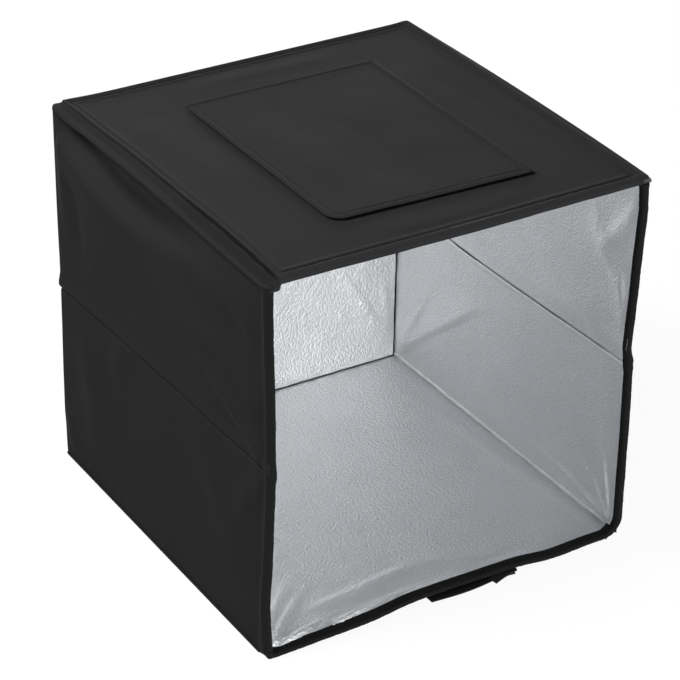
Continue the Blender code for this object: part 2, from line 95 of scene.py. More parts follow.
# Planes of the frame
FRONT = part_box("floor_binding")[0].y
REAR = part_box("back_skin")[1].y
WALL_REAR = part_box("right_upper_skin")[1].y
INNER_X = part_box("right_upper_lining")[0].x
BOARD_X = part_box("right_upper_board")
SKIN_X = BOARD_X[1].x + GAP + SKIN / 2
OUTER_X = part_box("right_upper_binding")[1].x
BOARD_FRONT = BOARD_X[0].y
LOW_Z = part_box("right_lower_skin")[0].z
LOWER_END_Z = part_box("right_lower_skin")[1].z
UPPER_START_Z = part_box("right_upper_skin")[0].z
HIGH_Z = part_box("right_upper_skin")[1].z
MID_Z = (LOWER_END_Z + UPPER_START_Z) / 2
FLOOR_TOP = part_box("floor_board")[1].z + GAP + LINING
FLOOR_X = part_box("floor_board")[1].x
TOP_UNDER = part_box("top_lining")[0].z
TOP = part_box("top_skin")[1].z
TOP_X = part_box("top_skin")[1].x
TOP_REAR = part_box("top_skin")[1].y
FLAP_LOW, FLAP_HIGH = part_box("flap_skin")
FLAP_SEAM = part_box("flap_seam")
FLAP_ROUND = 16 * MM  # its front left corner
FLAP_CORNER = 4 * MM  # its other corners
WINDOW_LOW, WINDOW_HIGH = (-0.064, -0.110), (0.088, 0.106)
WINDOW_CORNER = 12 * MM
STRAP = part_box("closure_strap")
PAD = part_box("closure_hook_pad")
STRAP_THICK = 1.4 * MM
PAD_THICK = 1.3 * MM
CHIP_HEIGHT = 0.6 * MM  # of the light chips under their board

# Bound edges
TAPE = 0.8 * MM
SIDE_STACK = 7.4 * MM
SIDE_LAP = 7.6 * MM
FLOOR_STACK = 5.2 * MM
FLOOR_LAP = 11.5 * MM
FUZZ = 0.16 * MM
TAPE_PLAY = 0.1 * MM  # between a tape and the sheets in it
TAPE_X = OUTER_X - GAP - SIDE_STACK / 2  # middle of the side tapes
HELD_X = TAPE_X + SIDE_STACK / 2 - TAPE - TAPE_PLAY - SKIN / 2  # the skin in its tape
HELD_INNER = TAPE_X - SIDE_STACK / 2 + TAPE + TAPE_PLAY + LINING / 2  # the lining in its tape

# Slack of the side walls: how far each hangs in at its crease
CREASE_BOW = {"left": 1.2 * MM, "right": 6.2 * MM}
CREASE_ROOM = 5 * MM  # from a crease to the boards above and below it
# How far each wall stands out of its plane: heights, then at its front and at its rear, in millimetres
SWAY = {
    "left": ((0, 50, 100, 150, 196, 250, 300, 360, 390),
             (4.6, 5.2, 2.6, 0.8, -0.4, 0.4, 2.0, 3.7, 4.0),
             (0.6, 3.8, 4.4, 4.0, 4.2, 4.5, 4.7, 4.9, 4.9)),
    "right": ((0, 80, 120, 190, 215, 240, 270, 300, 330, 360, 390),
              (2.5, 2.6, 3.2, 2.1, -1.9, -0.3, 1.6, 2.5, 4.1, 6.0, 4.2),
              (0, 0, 0, 0, 0, 0, 0, 0, 0, 0.2, 0.4)),
}
TOP_BULGE = {"left": -3.0 * MM, "right": 4.5 * MM}  # in the middle of the top's edge
BULGE_START = {"left": 0.36, "right": 0.27}  # height at which that bulge begins

# Rear edge of the side skins, which turns in behind the back wall
REAR_RADIUS = 2.4 * MM
REAR_TURN_IN = 7 * MM
REAR_CLEAR = 1.4 * MM  # from the back wall to the skin's outside
REAR_BULGE = 3.2 * MM  # more at the top

# Front edge of the floor, raised over the strap
FRONT_LIFT = 5.4 * MM
FRONT_SKEW = 5 * MM  # how much further forward its left end lies
POST_RADIUS = {"left": 3 * MM, "right": 19 * MM}  # of the bound edge at the foot of the front posts
CORNER_LIFT = 2.4 * MM  # of the front edge at its right end
LIFT_START = -30 * MM
LIFT_END = 66 * MM
LIFT_RUN = 70 * MM
LIFT_DEPTH = 16 * MM  # behind the tape
CORNER_START, CORNER_RUN, CORNER_DEPTH = 110 * MM, 60 * MM, 30 * MM  # of CORNER_LIFT
SKEW_START, SKEW_RUN, SKEW_DEPTH = 20 * MM, 200 * MM, 80 * MM  # of FRONT_SKEW
FEET_START, FEET_RUN = 120 * MM, 80 * MM  # where the floor's cloth goes with the walls' feet
PAD_CORNERS = ((47, -213.5), (76.8, -205.0), (79.8, -193), (44, -193))  # from the front left round

# Studio
LAMP_AIM = (0, 0, 0.2)
LAMPS = (  # place, size in metres, power in watts
    ("key", (-1.45, 0.3, 2.25), 0.8, 51),  # above, on the left
    ("rear", (1.3, 2.4, 0.6), 1.5, 28),  # low behind, for the sheen of the top
    ("front", (-0.05, -2.65, 0.22), 1.2, 84),  # into the cube
)
WORLD_LIGHT = 0.07
SEEN_LIGHT = 0.93  # more where it is seen, up to white
STUDIO_WIDTH = 14
STUDIO_DROP = 0.4 * MM  # below the cube


def span(low, high, step):
    """Even places from low to high, about a step apart."""
    return np.linspace(low, high, max(2, round(abs(high - low) / step) + 1))


def spans(stops, steps):
    """Places through several stops, each stretch with its own step."""
    parts = [span(low, high, step)[:-1] for low, high, step in zip(stops, stops[1:], steps)]
    return np.concatenate(parts + [[stops[-1]]])


def grid(first, second):
    """Two lists of places, as the two coordinates of a grid."""
    return np.meshgrid(first, second, indexing="ij")


def stacked(*columns):
    """Points from their coordinates, each of which may vary along one axis only."""
    return np.stack(np.broadcast_arrays(*columns), -1)


def least(*values):
    """The least of several values, place by place."""
    return reduce(np.minimum, values)


def middles(places):
    """The middle of each cell of a grid."""
    return (places[1:, 1:] + places[:-1, :-1]) / 2


def run_along(first, second):
    """How far each point of a flat line lies along it."""
    return np.concatenate([[0], np.cumsum(np.hypot(np.diff(first), np.diff(second)))])


def smooth(value):
    """0 below 0, 1 above 1, and an S between them."""
    held = np.clip(value, 0, 1)
    return held * held * (3 - 2 * held)


def bump(value, middle, reach):
    """A rounded bump of height 1."""
    return np.exp(-(((value - middle) / reach) ** 2))


def lumps(a, b, size, seed):
    """Smooth lumps between -1 and 1, about size apart."""
    cells = 64
    lattice = np.random.default_rng(seed).uniform(-1, 1, (cells, cells))
    across = (0.8 * a + 0.6 * b) / size + cells
    up = (0.8 * b - 0.6 * a) / size + cells
    column, row = np.floor(across).astype(int), np.floor(up).astype(int)
    u, v = smooth(across - column), smooth(up - row)
    near = lattice[row % cells, column % cells] * (1 - u) + lattice[row % cells, (column + 1) % cells] * u
    far_row = (row + 1) % cells
    far = lattice[far_row, column % cells] * (1 - u) + lattice[far_row, (column + 1) % cells] * u
    return near * (1 - v) + far * v


def ripples(a, b, size, seed):
    """Lumps with finer ones on them."""
    return (lumps(a, b, size, seed) + 0.5 * lumps(a, b, size / 2.1, seed + 1)
            + 0.25 * lumps(a, b, size / 4.3, seed + 2)) / 1.75


def fold(points, height, left, right=None, start=0.25, end=0.25, power=2.0):
    """A fold along points, all in millimetres: its height, its width on the left and on the right
    of its course, and the shares of its length over which it rises and dies out."""
    return points, height * MM, left * MM, (right or left) * MM, start, end, power


def course(points, parts=6):
    """Places on a smooth curve through given points, in metres."""
    held = np.array(points, float) * MM
    held = np.vstack([2 * held[0] - held[1], held, 2 * held[-1] - held[-2]])
    share = (np.arange(parts) / parts)[:, None]
    runs = []
    for before, first, second, after in zip(held, held[1:], held[2:], held[3:]):
        runs.append(0.5 * (2 * first + (second - before) * share
                           + (2 * before - 5 * first + 4 * second - after) * share ** 2
                           + (3 * first - before - 3 * second + after) * share ** 3))
    return np.vstack(runs + [held[-2:-1]])


def off_course(a, b, points):
    """Distance to a course, which side of it (1 on its left), and the share of its length."""
    track = course(points)
    step = np.diff(track, axis=0)
    size = np.hypot(*step.T)
    here = np.stack([np.ravel(a), np.ravel(b)], -1)
    offset = here[:, None] - track[None, :-1]
    share = np.clip((offset * step).sum(-1) / size ** 2, 0, 1)
    apart = offset - share[..., None] * step
    distance = np.hypot(apart[..., 0], apart[..., 1])
    near = distance.argmin(1)
    pick = np.arange(len(near))
    turn = step[near, 0] * offset[pick, near, 1] - step[near, 1] * offset[pick, near, 0]
    before = np.concatenate([[0], np.cumsum(size)])
    along = (before[near] + share[pick, near] * size[near]) / before[-1]
    shape = np.shape(a)
    return distance[pick, near].reshape(shape), np.sign(turn).reshape(shape), along.reshape(shape)


def relief(a, b, folds):
    """Height of all folds together at the places (a, b)."""
    total = np.zeros(np.shape(a))
    for points, height, left, right, start, end, power in folds:
        distance, turn, along = off_course(a, b, points)
        width = np.where(turn > 0, left, right)
        fade = smooth(along / start) * smooth((1 - along) / end)
        total += height * fade * np.exp(-((distance / width) ** power))
    return total


def ends_rounded(u, v, corner, inward, radius):
    """Moves grid places near a corner so that the edge through it becomes a quarter circle."""
    centre = (corner[0] + inward[0] * radius, corner[1] + inward[1] * radius)
    across, up = -(u - centre[0]) * inward[0] / radius, -(v - centre[1]) * inward[1] / radius
    ring = np.maximum(across, up)
    reach = np.maximum(np.hypot(across, up), 1e-9)
    inside = (across > 0) & (up > 0)
    factor = np.where(inside, 1 + (ring / reach - 1) * (1 - smooth(ring - 1)), 1)
    return centre[0] + (u - centre[0]) * factor, centre[1] + (v - centre[1]) * factor


def normals(points):
    """Unit normals of a grid of points."""
    across = np.cross(np.gradient(points, axis=0), np.gradient(points, axis=1))
    return across / np.maximum(np.linalg.norm(across, axis=-1, keepdims=True), 1e-12)


def cloth_mesh(name, middle, thickness, keep=None):
    """A closed sheet of a thickness round a grid of middle points. keep says which cells it has."""
    rows, columns = middle.shape[:2]
    keep = np.ones((rows - 1, columns - 1), bool) if keep is None else keep
    offset = normals(middle) * thickness / 2
    points = np.concatenate([(middle + offset).reshape(-1, 3), (middle - offset).reshape(-1, 3)])
    count = rows * columns
    number = np.arange(count).reshape(rows, columns)
    a, b, c, d = number[:-1, :-1], number[1:, :-1], number[1:, 1:], number[:-1, 1:]
    front = np.stack([a, b, c, d], -1)[keep]
    faces = [front, front[:, ::-1] + count]
    padded = np.pad(keep, 1)
    for first, second, beside in ((a, b, padded[1:-1, :-2]), (b, c, padded[2:, 1:-1]),
                                  (c, d, padded[1:-1, 2:]), (d, a, padded[:-2, 1:-1])):
        rim = keep & ~beside
        one, two = first[rim], second[rim]
        faces.append(np.stack([two, one, one + count, two + count], -1))
    faces = np.concatenate(faces)
    used = np.unique(faces)
    place = np.zeros(len(points), int)
    place[used] = np.arange(len(used))
    mesh = bpy.data.meshes.new(name)
    mesh.vertices.add(len(used))
    mesh.vertices.foreach_set("co", points[used].astype(np.float32).ravel())
    mesh.loops.add(faces.size)
    mesh.loops.foreach_set("vertex_index", place[faces].ravel().astype(np.int32))
    mesh.polygons.add(len(faces))
    mesh.polygons.foreach_set("loop_start", np.arange(0, faces.size, 4, dtype=np.int32))
    mesh.update(calc_edges=True)
    mesh.validate()
    mesh.shade_smooth()
    mesh.set_sharp_from_angle(angle=SHARP)
    return mesh


def add_piece(name, mesh, body, material, nodes=()):
    """A piece that rides on a body and stands for CAD nodes."""
    piece = bpy.data.objects.new(name, mesh)
    bpy.context.scene.collection.objects.link(piece)
    mesh.materials.append(material)
    if body:
        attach(piece, body)
    if nodes:
        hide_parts(*nodes)
    return piece


def add_cloth(name, points, thickness, body, material, node_name=None, keep=None):
    """A sheet round a grid of points as a piece, which may stand for a CAD node."""
    nodes = (node_name,) if node_name else ()
    return add_piece(name, cloth_mesh(name, points, thickness, keep), body, material, nodes)


def connect(tree, socket, value):
    """Links a socket to another one, or sets its value."""
    if isinstance(value, bpy.types.NodeSocket):
        tree.links.new(value, socket)
    else:
        socket.default_value = value


def node(tree, kind, settings=None, **inputs):
    """A shader node. Inputs are values or sockets; a space in a name is an underscore here."""
    made = tree.nodes.new(kind)
    for key, value in (settings or {}).items():
        setattr(made, key, value)
    for key, value in inputs.items():
        connect(tree, made.inputs[key.replace("_", " ")], value)
    return made


def math(tree, operation, first, second):
    """The result of a sum, product or the like."""
    made = node(tree, "ShaderNodeMath", {"operation": operation})
    for socket, value in zip(made.inputs, (first, second)):
        connect(tree, socket, value)
    return made.outputs[0]


def new_material(name, colour, roughness, metallic=0.0, specular=0.5):
    """A Principled material, with its nodes and its shader."""
    material = bpy.data.materials.new(name)
    material.use_nodes = True
    tree = material.node_tree
    shader = tree.nodes["Principled BSDF"]
    shader.inputs["Base Color"].default_value = (*colour, 1)
    shader.inputs["Roughness"].default_value = roughness
    shader.inputs["Metallic"].default_value = metallic
    shader.inputs["Specular IOR Level"].default_value = specular
    return material, tree, shader


def place_of(tree, scale=(1, 1, 1), turn=(0, 0, 0)):
    """The place on the piece, in metres, stretched and turned."""
    place = node(tree, "ShaderNodeTexCoord").outputs["Object"]
    return node(tree, "ShaderNodeMapping", Vector=place, Scale=scale, Rotation=turn).outputs["Vector"]


def noise(tree, place, size, detail=3.0, roughness=0.55):
    """Noise whose lumps are about a size in metres."""
    return node(tree, "ShaderNodeTexNoise", Vector=place, Scale=1 / size, Detail=detail,
                Roughness=roughness).outputs["Fac"]


def between(tree, value, low, high):
    """A noise value, which is mostly 0.3 to 0.7, spread from low to high."""
    return node(tree, "ShaderNodeMapRange", Value=value, From_Min=0.3, From_Max=0.7,
                To_Min=low, To_Max=high).outputs["Result"]


def mixed(tree, share, first, second):
    """A colour between two, each given as three numbers or as a socket."""
    made = node(tree, "ShaderNodeMix", {"data_type": "RGBA"}, Factor=share)
    sockets = [socket for socket in made.inputs if socket.type == "RGBA"]
    for socket, colour in zip(sockets, (first, second)):
        connect(tree, socket, colour if isinstance(colour, bpy.types.NodeSocket) else (*colour, 1))
    return [socket for socket in made.outputs if socket.type == "RGBA"][0]


def tinted(tree, value, first, second):
    """A colour between two, by a noise value."""
    return mixed(tree, between(tree, value, 0.0, 1.0), first, second)


def dressed(material, colour=None, roughness=None, layers=()):
    """Gives a material its varying colour and roughness, and bumps from several heights: each a value
    and how many metres it is high."""
    tree = material.node_tree
    shader = tree.nodes["Principled BSDF"]
    if colour:
        tree.links.new(colour, shader.inputs["Base Color"])
    if roughness:
        tree.links.new(roughness, shader.inputs["Roughness"])
    normal = None
    for height, distance in layers:
        made = node(tree, "ShaderNodeBump", Height=height, Distance=distance, Strength=1.0)
        if normal:
            tree.links.new(normal, made.inputs["Normal"])
        normal = made.outputs["Normal"]
    if normal:
        tree.links.new(normal, shader.inputs["Normal"])
    return material


def grained(name, colour, roughness, grain, height, tints=None, gloss=None, stretch=(1, 1, 1), **more):
    """A material with one noise, which makes its bumps and may vary its colour and its roughness. grain is
    that noise's size in metres, its detail and its roughness."""
    material, tree, _ = new_material(name, colour, roughness, **more)
    value = noise(tree, place_of(tree, stretch), *grain)
    varied = tinted(tree, value, *tints) if tints else None
    rough = between(tree, value, *gloss) if gloss else None
    return dressed(material, varied, rough, ((value, height),))


def skin_material():
    """Smooth, matt, coated black cloth: faint mottling, partly random tone and partly painted sheen, very
    fine grain, soft creases.
    """
    material, tree, _ = new_material("coated_cloth", (0.030, 0.030, 0.0315), 0.62, specular=0.012)
    place = place_of(tree)
    # faint lighter and darker patches in the colour: random tone, and also painted sheen standing in for
    # the cloth's uneven sheen
    patches = noise(tree, place, 75 * MM, 2.0)
    colour = tinted(tree, patches, (0.029, 0.029, 0.0305), (0.031, 0.031, 0.0325))
    creases = noise(tree, place, 9 * MM, 3.0, 0.45)
    grain = noise(tree, place, 0.7 * MM, 2.0)
    bumps = ((creases, 0.22 * MM), (grain, 0.05 * MM))
    return dressed(material, colour, between(tree, patches, 0.58, 0.66), bumps)


def lining_material(name, scale=(1, 1, 1), turn=(0, 0, 0), grain=2.2 * MM, grain_height=0.5 * MM):
    """Embossed silver foil cloth with a leather-like grain."""
    material, tree, _ = new_material(name, (0.710, 0.722, 0.730), 0.38, metallic=0.72)
    place = place_of(tree, scale, turn)
    wander = node(tree, "ShaderNodeTexNoise", Vector=place, Scale=1 / (5 * MM), Detail=1.0)
    moved = node(tree, "ShaderNodeVectorMath", {"operation": "MULTIPLY_ADD"})
    for socket, value in zip(moved.inputs, (wander.outputs["Color"], (2.6 * MM,) * 3, place)):
        connect(tree, socket, value)
    cells = node(tree, "ShaderNodeTexVoronoi", {"feature": "SMOOTH_F1"}, Vector=moved.outputs[0],
                 Scale=1 / grain, Smoothness=0.35).outputs["Distance"]
    fine = noise(tree, place, 0.9 * MM, 2.0)
    pebbles = math(tree, "ADD", math(tree, "MULTIPLY", cells, -1.0), math(tree, "MULTIPLY", fine, 0.35))
    flat_place = place_of(tree)
    waves = noise(tree, flat_place, 24 * MM, 2.0)
    patches = noise(tree, flat_place, 60 * MM, 3.0)
    colour = tinted(tree, patches, (0.71, 0.722, 0.735), (0.75, 0.762, 0.775))
    bumps = ((waves, 0.5 * MM), (pebbles, grain_height))
    return dressed(material, colour, between(tree, fine, 0.33, 0.43), bumps)


def webbing_material():
    """Ribbed webbing of the closure strap."""
    material, tree, _ = new_material("webbing", (0.010, 0.010, 0.010), 0.8, specular=0.2)
    place = place_of(tree)
    ribs = node(tree, "ShaderNodeTexWave", {"wave_type": "BANDS", "bands_direction": "X"}, Vector=place,
                Scale=1 / (7 * MM), Distortion=0.6, Detail=1.0).outputs["Fac"]
    fibres = noise(tree, place, 0.4 * MM, 3.0)
    colour = tinted(tree, fibres, (0.006, 0.006, 0.0065), (0.014, 0.014, 0.0145))
    return dressed(material, colour, layers=((ribs, 0.25 * MM), (fibres, 0.08 * MM)))


def hook_material():
    """Hook and loop tape: dense small hooks."""
    material, tree, _ = new_material("hook_and_loop", (0.009, 0.009, 0.009), 0.85, specular=0.25)
    place = place_of(tree)
    hooks = node(tree, "ShaderNodeTexVoronoi", Vector=place, Scale=1 / (0.9 * MM)).outputs["Distance"]
    colour = tinted(tree, hooks, (0.016, 0.016, 0.016), (0.005, 0.005, 0.005))
    return dressed(material, colour, layers=((hooks, -0.3 * MM),))


def led_material(board_low):
    """White circuit board; below it the chips, pale with a yellow face."""
    material, tree, _ = new_material("led_board", (0.80, 0.80, 0.78), 0.4)
    place = node(tree, "ShaderNodeTexCoord").outputs["Object"]
    height = node(tree, "ShaderNodeSeparateXYZ", Vector=place).outputs["Z"]
    chip = math(tree, "LESS_THAN", height, board_low)
    dust = noise(tree, place, 2 * MM)
    board = tinted(tree, dust, (0.76, 0.76, 0.74), (0.84, 0.84, 0.83))
    return dressed(material, mixed(tree, chip, board, (0.80, 0.62, 0.16)), between(tree, dust, 0.34, 0.46))


SKIN_CLOTH = skin_material()
FOIL = lining_material("silver_foil")
FLOOR_FOIL = lining_material("silver_foil_floor", grain=2.4 * MM, grain_height=0.8 * MM)
BACK_FOIL = lining_material("silver_foil_back", scale=(1, 1, 0.75), turn=(0, radians(-28), 0),
                            grain=2.5 * MM)
WEBBING = webbing_material()
HOOK_LOOP = hook_material()
# Fuzzy tape that swallows the light, the grey back of the black cloth, twisted thread
BINDING = grained("binding_tape", (0.010, 0.0105, 0.010), 0.95, (0.5 * MM, 4.0, 0.7), 0.25 * MM,
                  tints=((0.006, 0.0062, 0.006), (0.016, 0.0168, 0.016)), specular=0.12)
HEM_BACK = grained("cloth_back", (0.08, 0.086, 0.084), 0.85, (0.6 * MM, 3.0), 0.1 * MM,
                   tints=((0.065, 0.07, 0.068), (0.095, 0.102, 0.10)), specular=0.1)
THREAD = grained("thread", (0.02, 0.02, 0.021), 0.6, (0.3 * MM, 2.0), 0.06 * MM,
                 tints=((0.012, 0.012, 0.013), (0.03, 0.03, 0.031)), specular=0.4)
# Grey stiffener board, aluminium with lines along its length, black plastic of the light bars' caps
BOARD = grained("board", (0.10, 0.10, 0.105), 0.75, (1.5 * MM, 4.0, 0.65), 0.06 * MM,
                tints=((0.08, 0.08, 0.085), (0.13, 0.13, 0.135)))
ALUMINIUM = grained("drawn_aluminium", (0.70, 0.71, 0.72), 0.35, (0.5 * MM, 3.0), 0.02 * MM,
                    tints=((0.62, 0.63, 0.64), (0.78, 0.79, 0.80)), gloss=(0.28, 0.42),
                    stretch=(0.02, 1, 1), metallic=1.0)
PLASTIC = grained("moulded_plastic", (0.02, 0.02, 0.02), 0.45, (0.6 * MM, 2.0), 0.03 * MM,
                  gloss=(0.38, 0.52))

# Folds of the left wall's outside, (y, z): its layers all hang in along the valleys, and its cloth
# stands out along the crests
LEFT_VALLEYS = (
    fold(((203, 379), (150, 365), (105, 354), (56, 348), (-3, 353), (-68, 365), (-132, 372)),
         -12.0, 14, 24, 0.12, 0.45, 2.2),
    fold(((180, 340), (172, 300), (160, 250), (150, 215)), -2.5, 12, 14, 0.3, 0.5),
    fold(((-90, 215), (-140, 208), (-195, 197)), -1.8, 7, 7, 0.5, 0.1),
)
LEFT_UPPER_CRESTS = (
    fold(((203, 368), (170, 349), (130, 336), (80, 322), (40, 300)), 5.5, 26, 13, 0.1, 0.6),
    fold(((199, 345), (188, 300), (176, 255)), 2.0, 16, 14, 0.3, 0.5),
    fold(((-30, 268), (-106, 246), (-151, 223), (-195, 196)), 3.2, 9, 12, 0.5, 0.1),
    fold(((18, 270), (-78, 285), (-151, 270), (-190, 239)), 3.2, 12, 14, 0.5, 0.15),
    fold(((-60, 335), (-110, 342), (-150, 340), (-192, 310)), 2.6, 14, 14, 0.4, 0.3),
)
LEFT_LOWER_CRESTS = (
    fold(((165, 196), (139, 74), (135, 20)), 2.0, 18, 22, 0.4, 0.4),
    fold(((104, 139), (70, 200), (52, 230)), 1.4, 16, 16),
    fold(((-40, 190), (-110, 120), (-150, 40)), 1.6, 22, 22, 0.4, 0.4),
    fold(((-195, 190), (-160, 150), (-130, 90)), 1.6, 12, 14, 0.2, 0.5),
    fold(((199, 60), (190, 30), (178, 12)), 1.6, 10, 10, 0.3, 0.3),
)
# Folds of the right wall's inside, (y, z): crests stand into the cube
RIGHT_UPPER_FOLDS = (
    fold(((-10, 277), (-63, 256), (-115, 236), (-165, 215)), 2.6, 9, 18, 0.4, 0.2),
    fold(((-114, 328), (-149, 307), (-193, 263), (-202, 224)), 3.2, 11, 14, 0.3, 0.2),
    fold(((-205, 369), (-164, 314), (-136, 274)), 2.6, 10, 12, 0.1, 0.5),
    fold(((-60, 345), (-20, 300), (10, 270)), 1.6, 11, 16, 0.4, 0.4),
    fold(((120, 250), (60, 230), (0, 222)), 1.6, 9, 12, 0.4, 0.4),
)
RIGHT_LOWER_FOLDS = (
    fold(((190, 14), (150, 52), (100, 92), (40, 140), (0, 160)), 2.4, 4, 16, 0.1, 0.4, 1.6),
    fold(((188, 20), (150, 85), (120, 140)), 1.6, 4, 12, 0.1, 0.5, 1.6),
    fold(((-192, 12), (-177, 30), (-162, 45), (-120, 75)), 2.6, 2.6, 6, 0.1, 0.5, 1.5),
    fold(((-194, 10), (-185, 40), (-176, 80), (-170, 120)), 2.2, 3, 6, 0.1, 0.5, 1.5),
    fold(((-190, 11), (-150, 22), (-100, 30), (-40, 34)), 2.2, 3, 5, 0.1, 0.5, 1.5),
    fold(((-191, 10), (-160, 14), (-120, 16)), -1.4, 2.5, 2.5, 0.2, 0.5),
    fold(((-195, 110), (-150, 130), (-90, 150)), 1.0, 9, 9, 0.4, 0.4),
)
# Folds of the back wall's inside, (x, z)
BACK_FOLDS = (
    fold(((118, 135), (150, 85), (178, 35)), 1.0, 4, 8, 0.4, 0.3, 1.6),
    fold(((172, 110), (182, 75), (191, 30)), 0.9, 4, 6, 0.4, 0.2, 1.6),
    fold(((-60, 320), (20, 240), (70, 150)), 0.8, 22, 26, 0.4, 0.4),
    fold(((30, 360), (110, 300), (165, 240)), 0.8, 18, 22, 0.3, 0.4),
    fold(((-150, 200), (-90, 130), (-30, 40)), 0.8, 18, 22, 0.4, 0.4),
)
# Folds of the floor's inside, (x, y)
FLOOR_FOLDS = (
    fold(((-190, -200), (-163, -190), (-128, -179)), 3.2, 2.4, 5, 0.1, 0.4, 1.5),
    fold(((-150, -163), (-90, -159), (-22, -150), (44, -153)), 2.0, 6, 7, 0.3, 0.4),
    fold(((-140, -196), (-92, -187), (-40, -183), (10, -182), (84, -188)), 2.8, 2.2, 4, 0.15, 0.2, 1.5),
    fold(((-194, -198), (-172, -160), (-113, -97)), 2.8, 3.5, 8, 0.1, 0.5, 1.6),
    fold(((-190, -196), (-160, -165), (-112, -124)), 2.4, 3, 6, 0.1, 0.5, 1.6),
    fold(((-193, -190), (-188, -140), (-176, -80)), 2.6, 3.5, 8, 0.1, 0.5, 1.6),
    fold(((150, 160), (168, 60), (176, -60), (182, -180)), 0.8, 8, 5, 0.3, 0.2),
    fold(((-170, 190), (-60, 178), (60, 184), (150, 192)), 0.8, 8, 7, 0.2, 0.2),
)
# Soft undulations of the top, (x, y)
TOP_FOLDS = (
    fold(((179, 90), (184, 20), (186, -60), (186, -150)), 1.2, 9, 12, 0.3, 0.3),
    fold(((150, 120), (160, 10), (156, -120)), -0.8, 16, 14, 0.3, 0.3),
    fold(((-150, 150), (-140, 40), (-150, -90)), 1.0, 22, 20, 0.3, 0.3),
    fold(((-90, -168), (0, -176), (110, -166)), 0.7, 12, 9, 0.3, 0.3),
    fold(((-90, 170), (0, 176), (110, 168)), 0.7, 10, 10, 0.3, 0.3),
)
FLAP_FOLDS = (
    fold(((-6, 70), (1, 29), (11, -26), (8, -84), (0, -120)), -1.6, 22, 26, 0.35, 0.35),
    fold(((60, 90), (66, 10), (60, -80)), 0.9, 24, 24, 0.3, 0.3),
    fold(((-60, 110), (-52, 20), (-60, -90)), 0.9, 18, 24, 0.3, 0.3),
)
# Ridge of the top's left hem, (y, x): it lies further in at the rear, where the cloth falls off outside it
LEFT_HEM = ((-206, -190), (-183, -188.6), (-133, -186.6), (-82, -185.4), (-20, -186.2), (66, -185.8),
            (163, -189), (201, -191.5))
# How far hem_inset's count begins outside that ridge, the right edge, the front and the rear
HEM_START = {"left": 4 * MM, "right": 2 * MM, "front": -4 * MM, "rear": 4.1 * MM}
HEM_STITCH = 9 * MM  # where the hem's stitches lie, as hem_inset counts
HEM_WIDE = 13 * MM
# Outside that ridge the cloth drops into a channel and rises again to the top's edge: places along it,
# then how far the channel and the edge lie below the top, and how far the ridge hangs over, in millimetres
STRIP = ((-206, -60, -15, 100, 180, 203), (8.3, 7.0, 4.2, 3.2, 2.6, 1.0), (6.0, 4.4, 3.0, 2.0, 1.4, 0.2),
         (5.0, 4.5, 2.6, 2.0, 1.6, 1.0))


def hem_x(y):
    """Where the ridge of the top's left hem lies."""
    places = np.array(LEFT_HEM) * MM
    return np.interp(y, places[:, 0], places[:, 1])


def strip(y):
    """Depth of the channel, depth of the edge, and overhang of the ridge along the top's left."""
    places, *rows = (np.array(row) * MM for row in STRIP)
    return [np.interp(y, places, row) for row in rows]


def released(y):
    """1 on a wall half, and less towards its front and rear, where the cloth is held."""
    return smooth((y - FRONT - SIDE_LAP) / (14 * MM)) * smooth((WALL_REAR + 4 * MM - y) / (12 * MM))


def sway(side_name, y, z):
    """How far a side wall stands out of its plane."""
    heights, front, rear = (np.array(row) * MM for row in SWAY[side_name])
    back = np.clip((y - FRONT) / (WALL_REAR - FRONT), 0, 1)
    edges = np.interp(z, heights, front) * (1 - back) + np.interp(z, heights, rear) * back
    start = BULGE_START[side_name]
    return edges + TOP_BULGE[side_name] * np.sin(pi * back) ** 0.7 * smooth((z - start) / (TOP - start))


def forward(x, y):
    """How much further forward the floor's front edge lies towards its left end."""
    return FRONT_SKEW * smooth((-x - SKEW_START) / SKEW_RUN) * (1 - smooth((y - FRONT) / SKEW_DEPTH))


def post_in(side_name, z):
    """How far a front post is drawn in at its foot, where the bound edge turns along the floor."""
    radius = POST_RADIUS[side_name]
    rise = CORNER_LIFT if side_name == "right" else 0
    below = np.clip(FLOOR_STACK / 2 + rise + radius - z, 0, radius)
    return radius - np.sqrt(radius ** 2 - below ** 2)


def bow(side_name, y, z):
    """How far all layers of a side wall hang in."""
    along = np.clip((y - FRONT) / (WALL_REAR - FRONT), 0, 1)
    up = np.where(z < MID_Z, (z - LOW_Z) / (MID_Z - LOW_Z), (HIGH_Z - z) / (HIGH_Z - MID_Z))
    deep = CREASE_BOW[side_name] * np.sin(pi * along ** 1.5) * np.clip(up, 0, 1)
    if side_name == "left":
        deep = deep - relief(y, z, LEFT_VALLEYS) * released(y)
    near_front = 1 - smooth((y - FRONT) / (16 * MM))
    return deep - sway(side_name, y, z) + post_in(side_name, z) * near_front


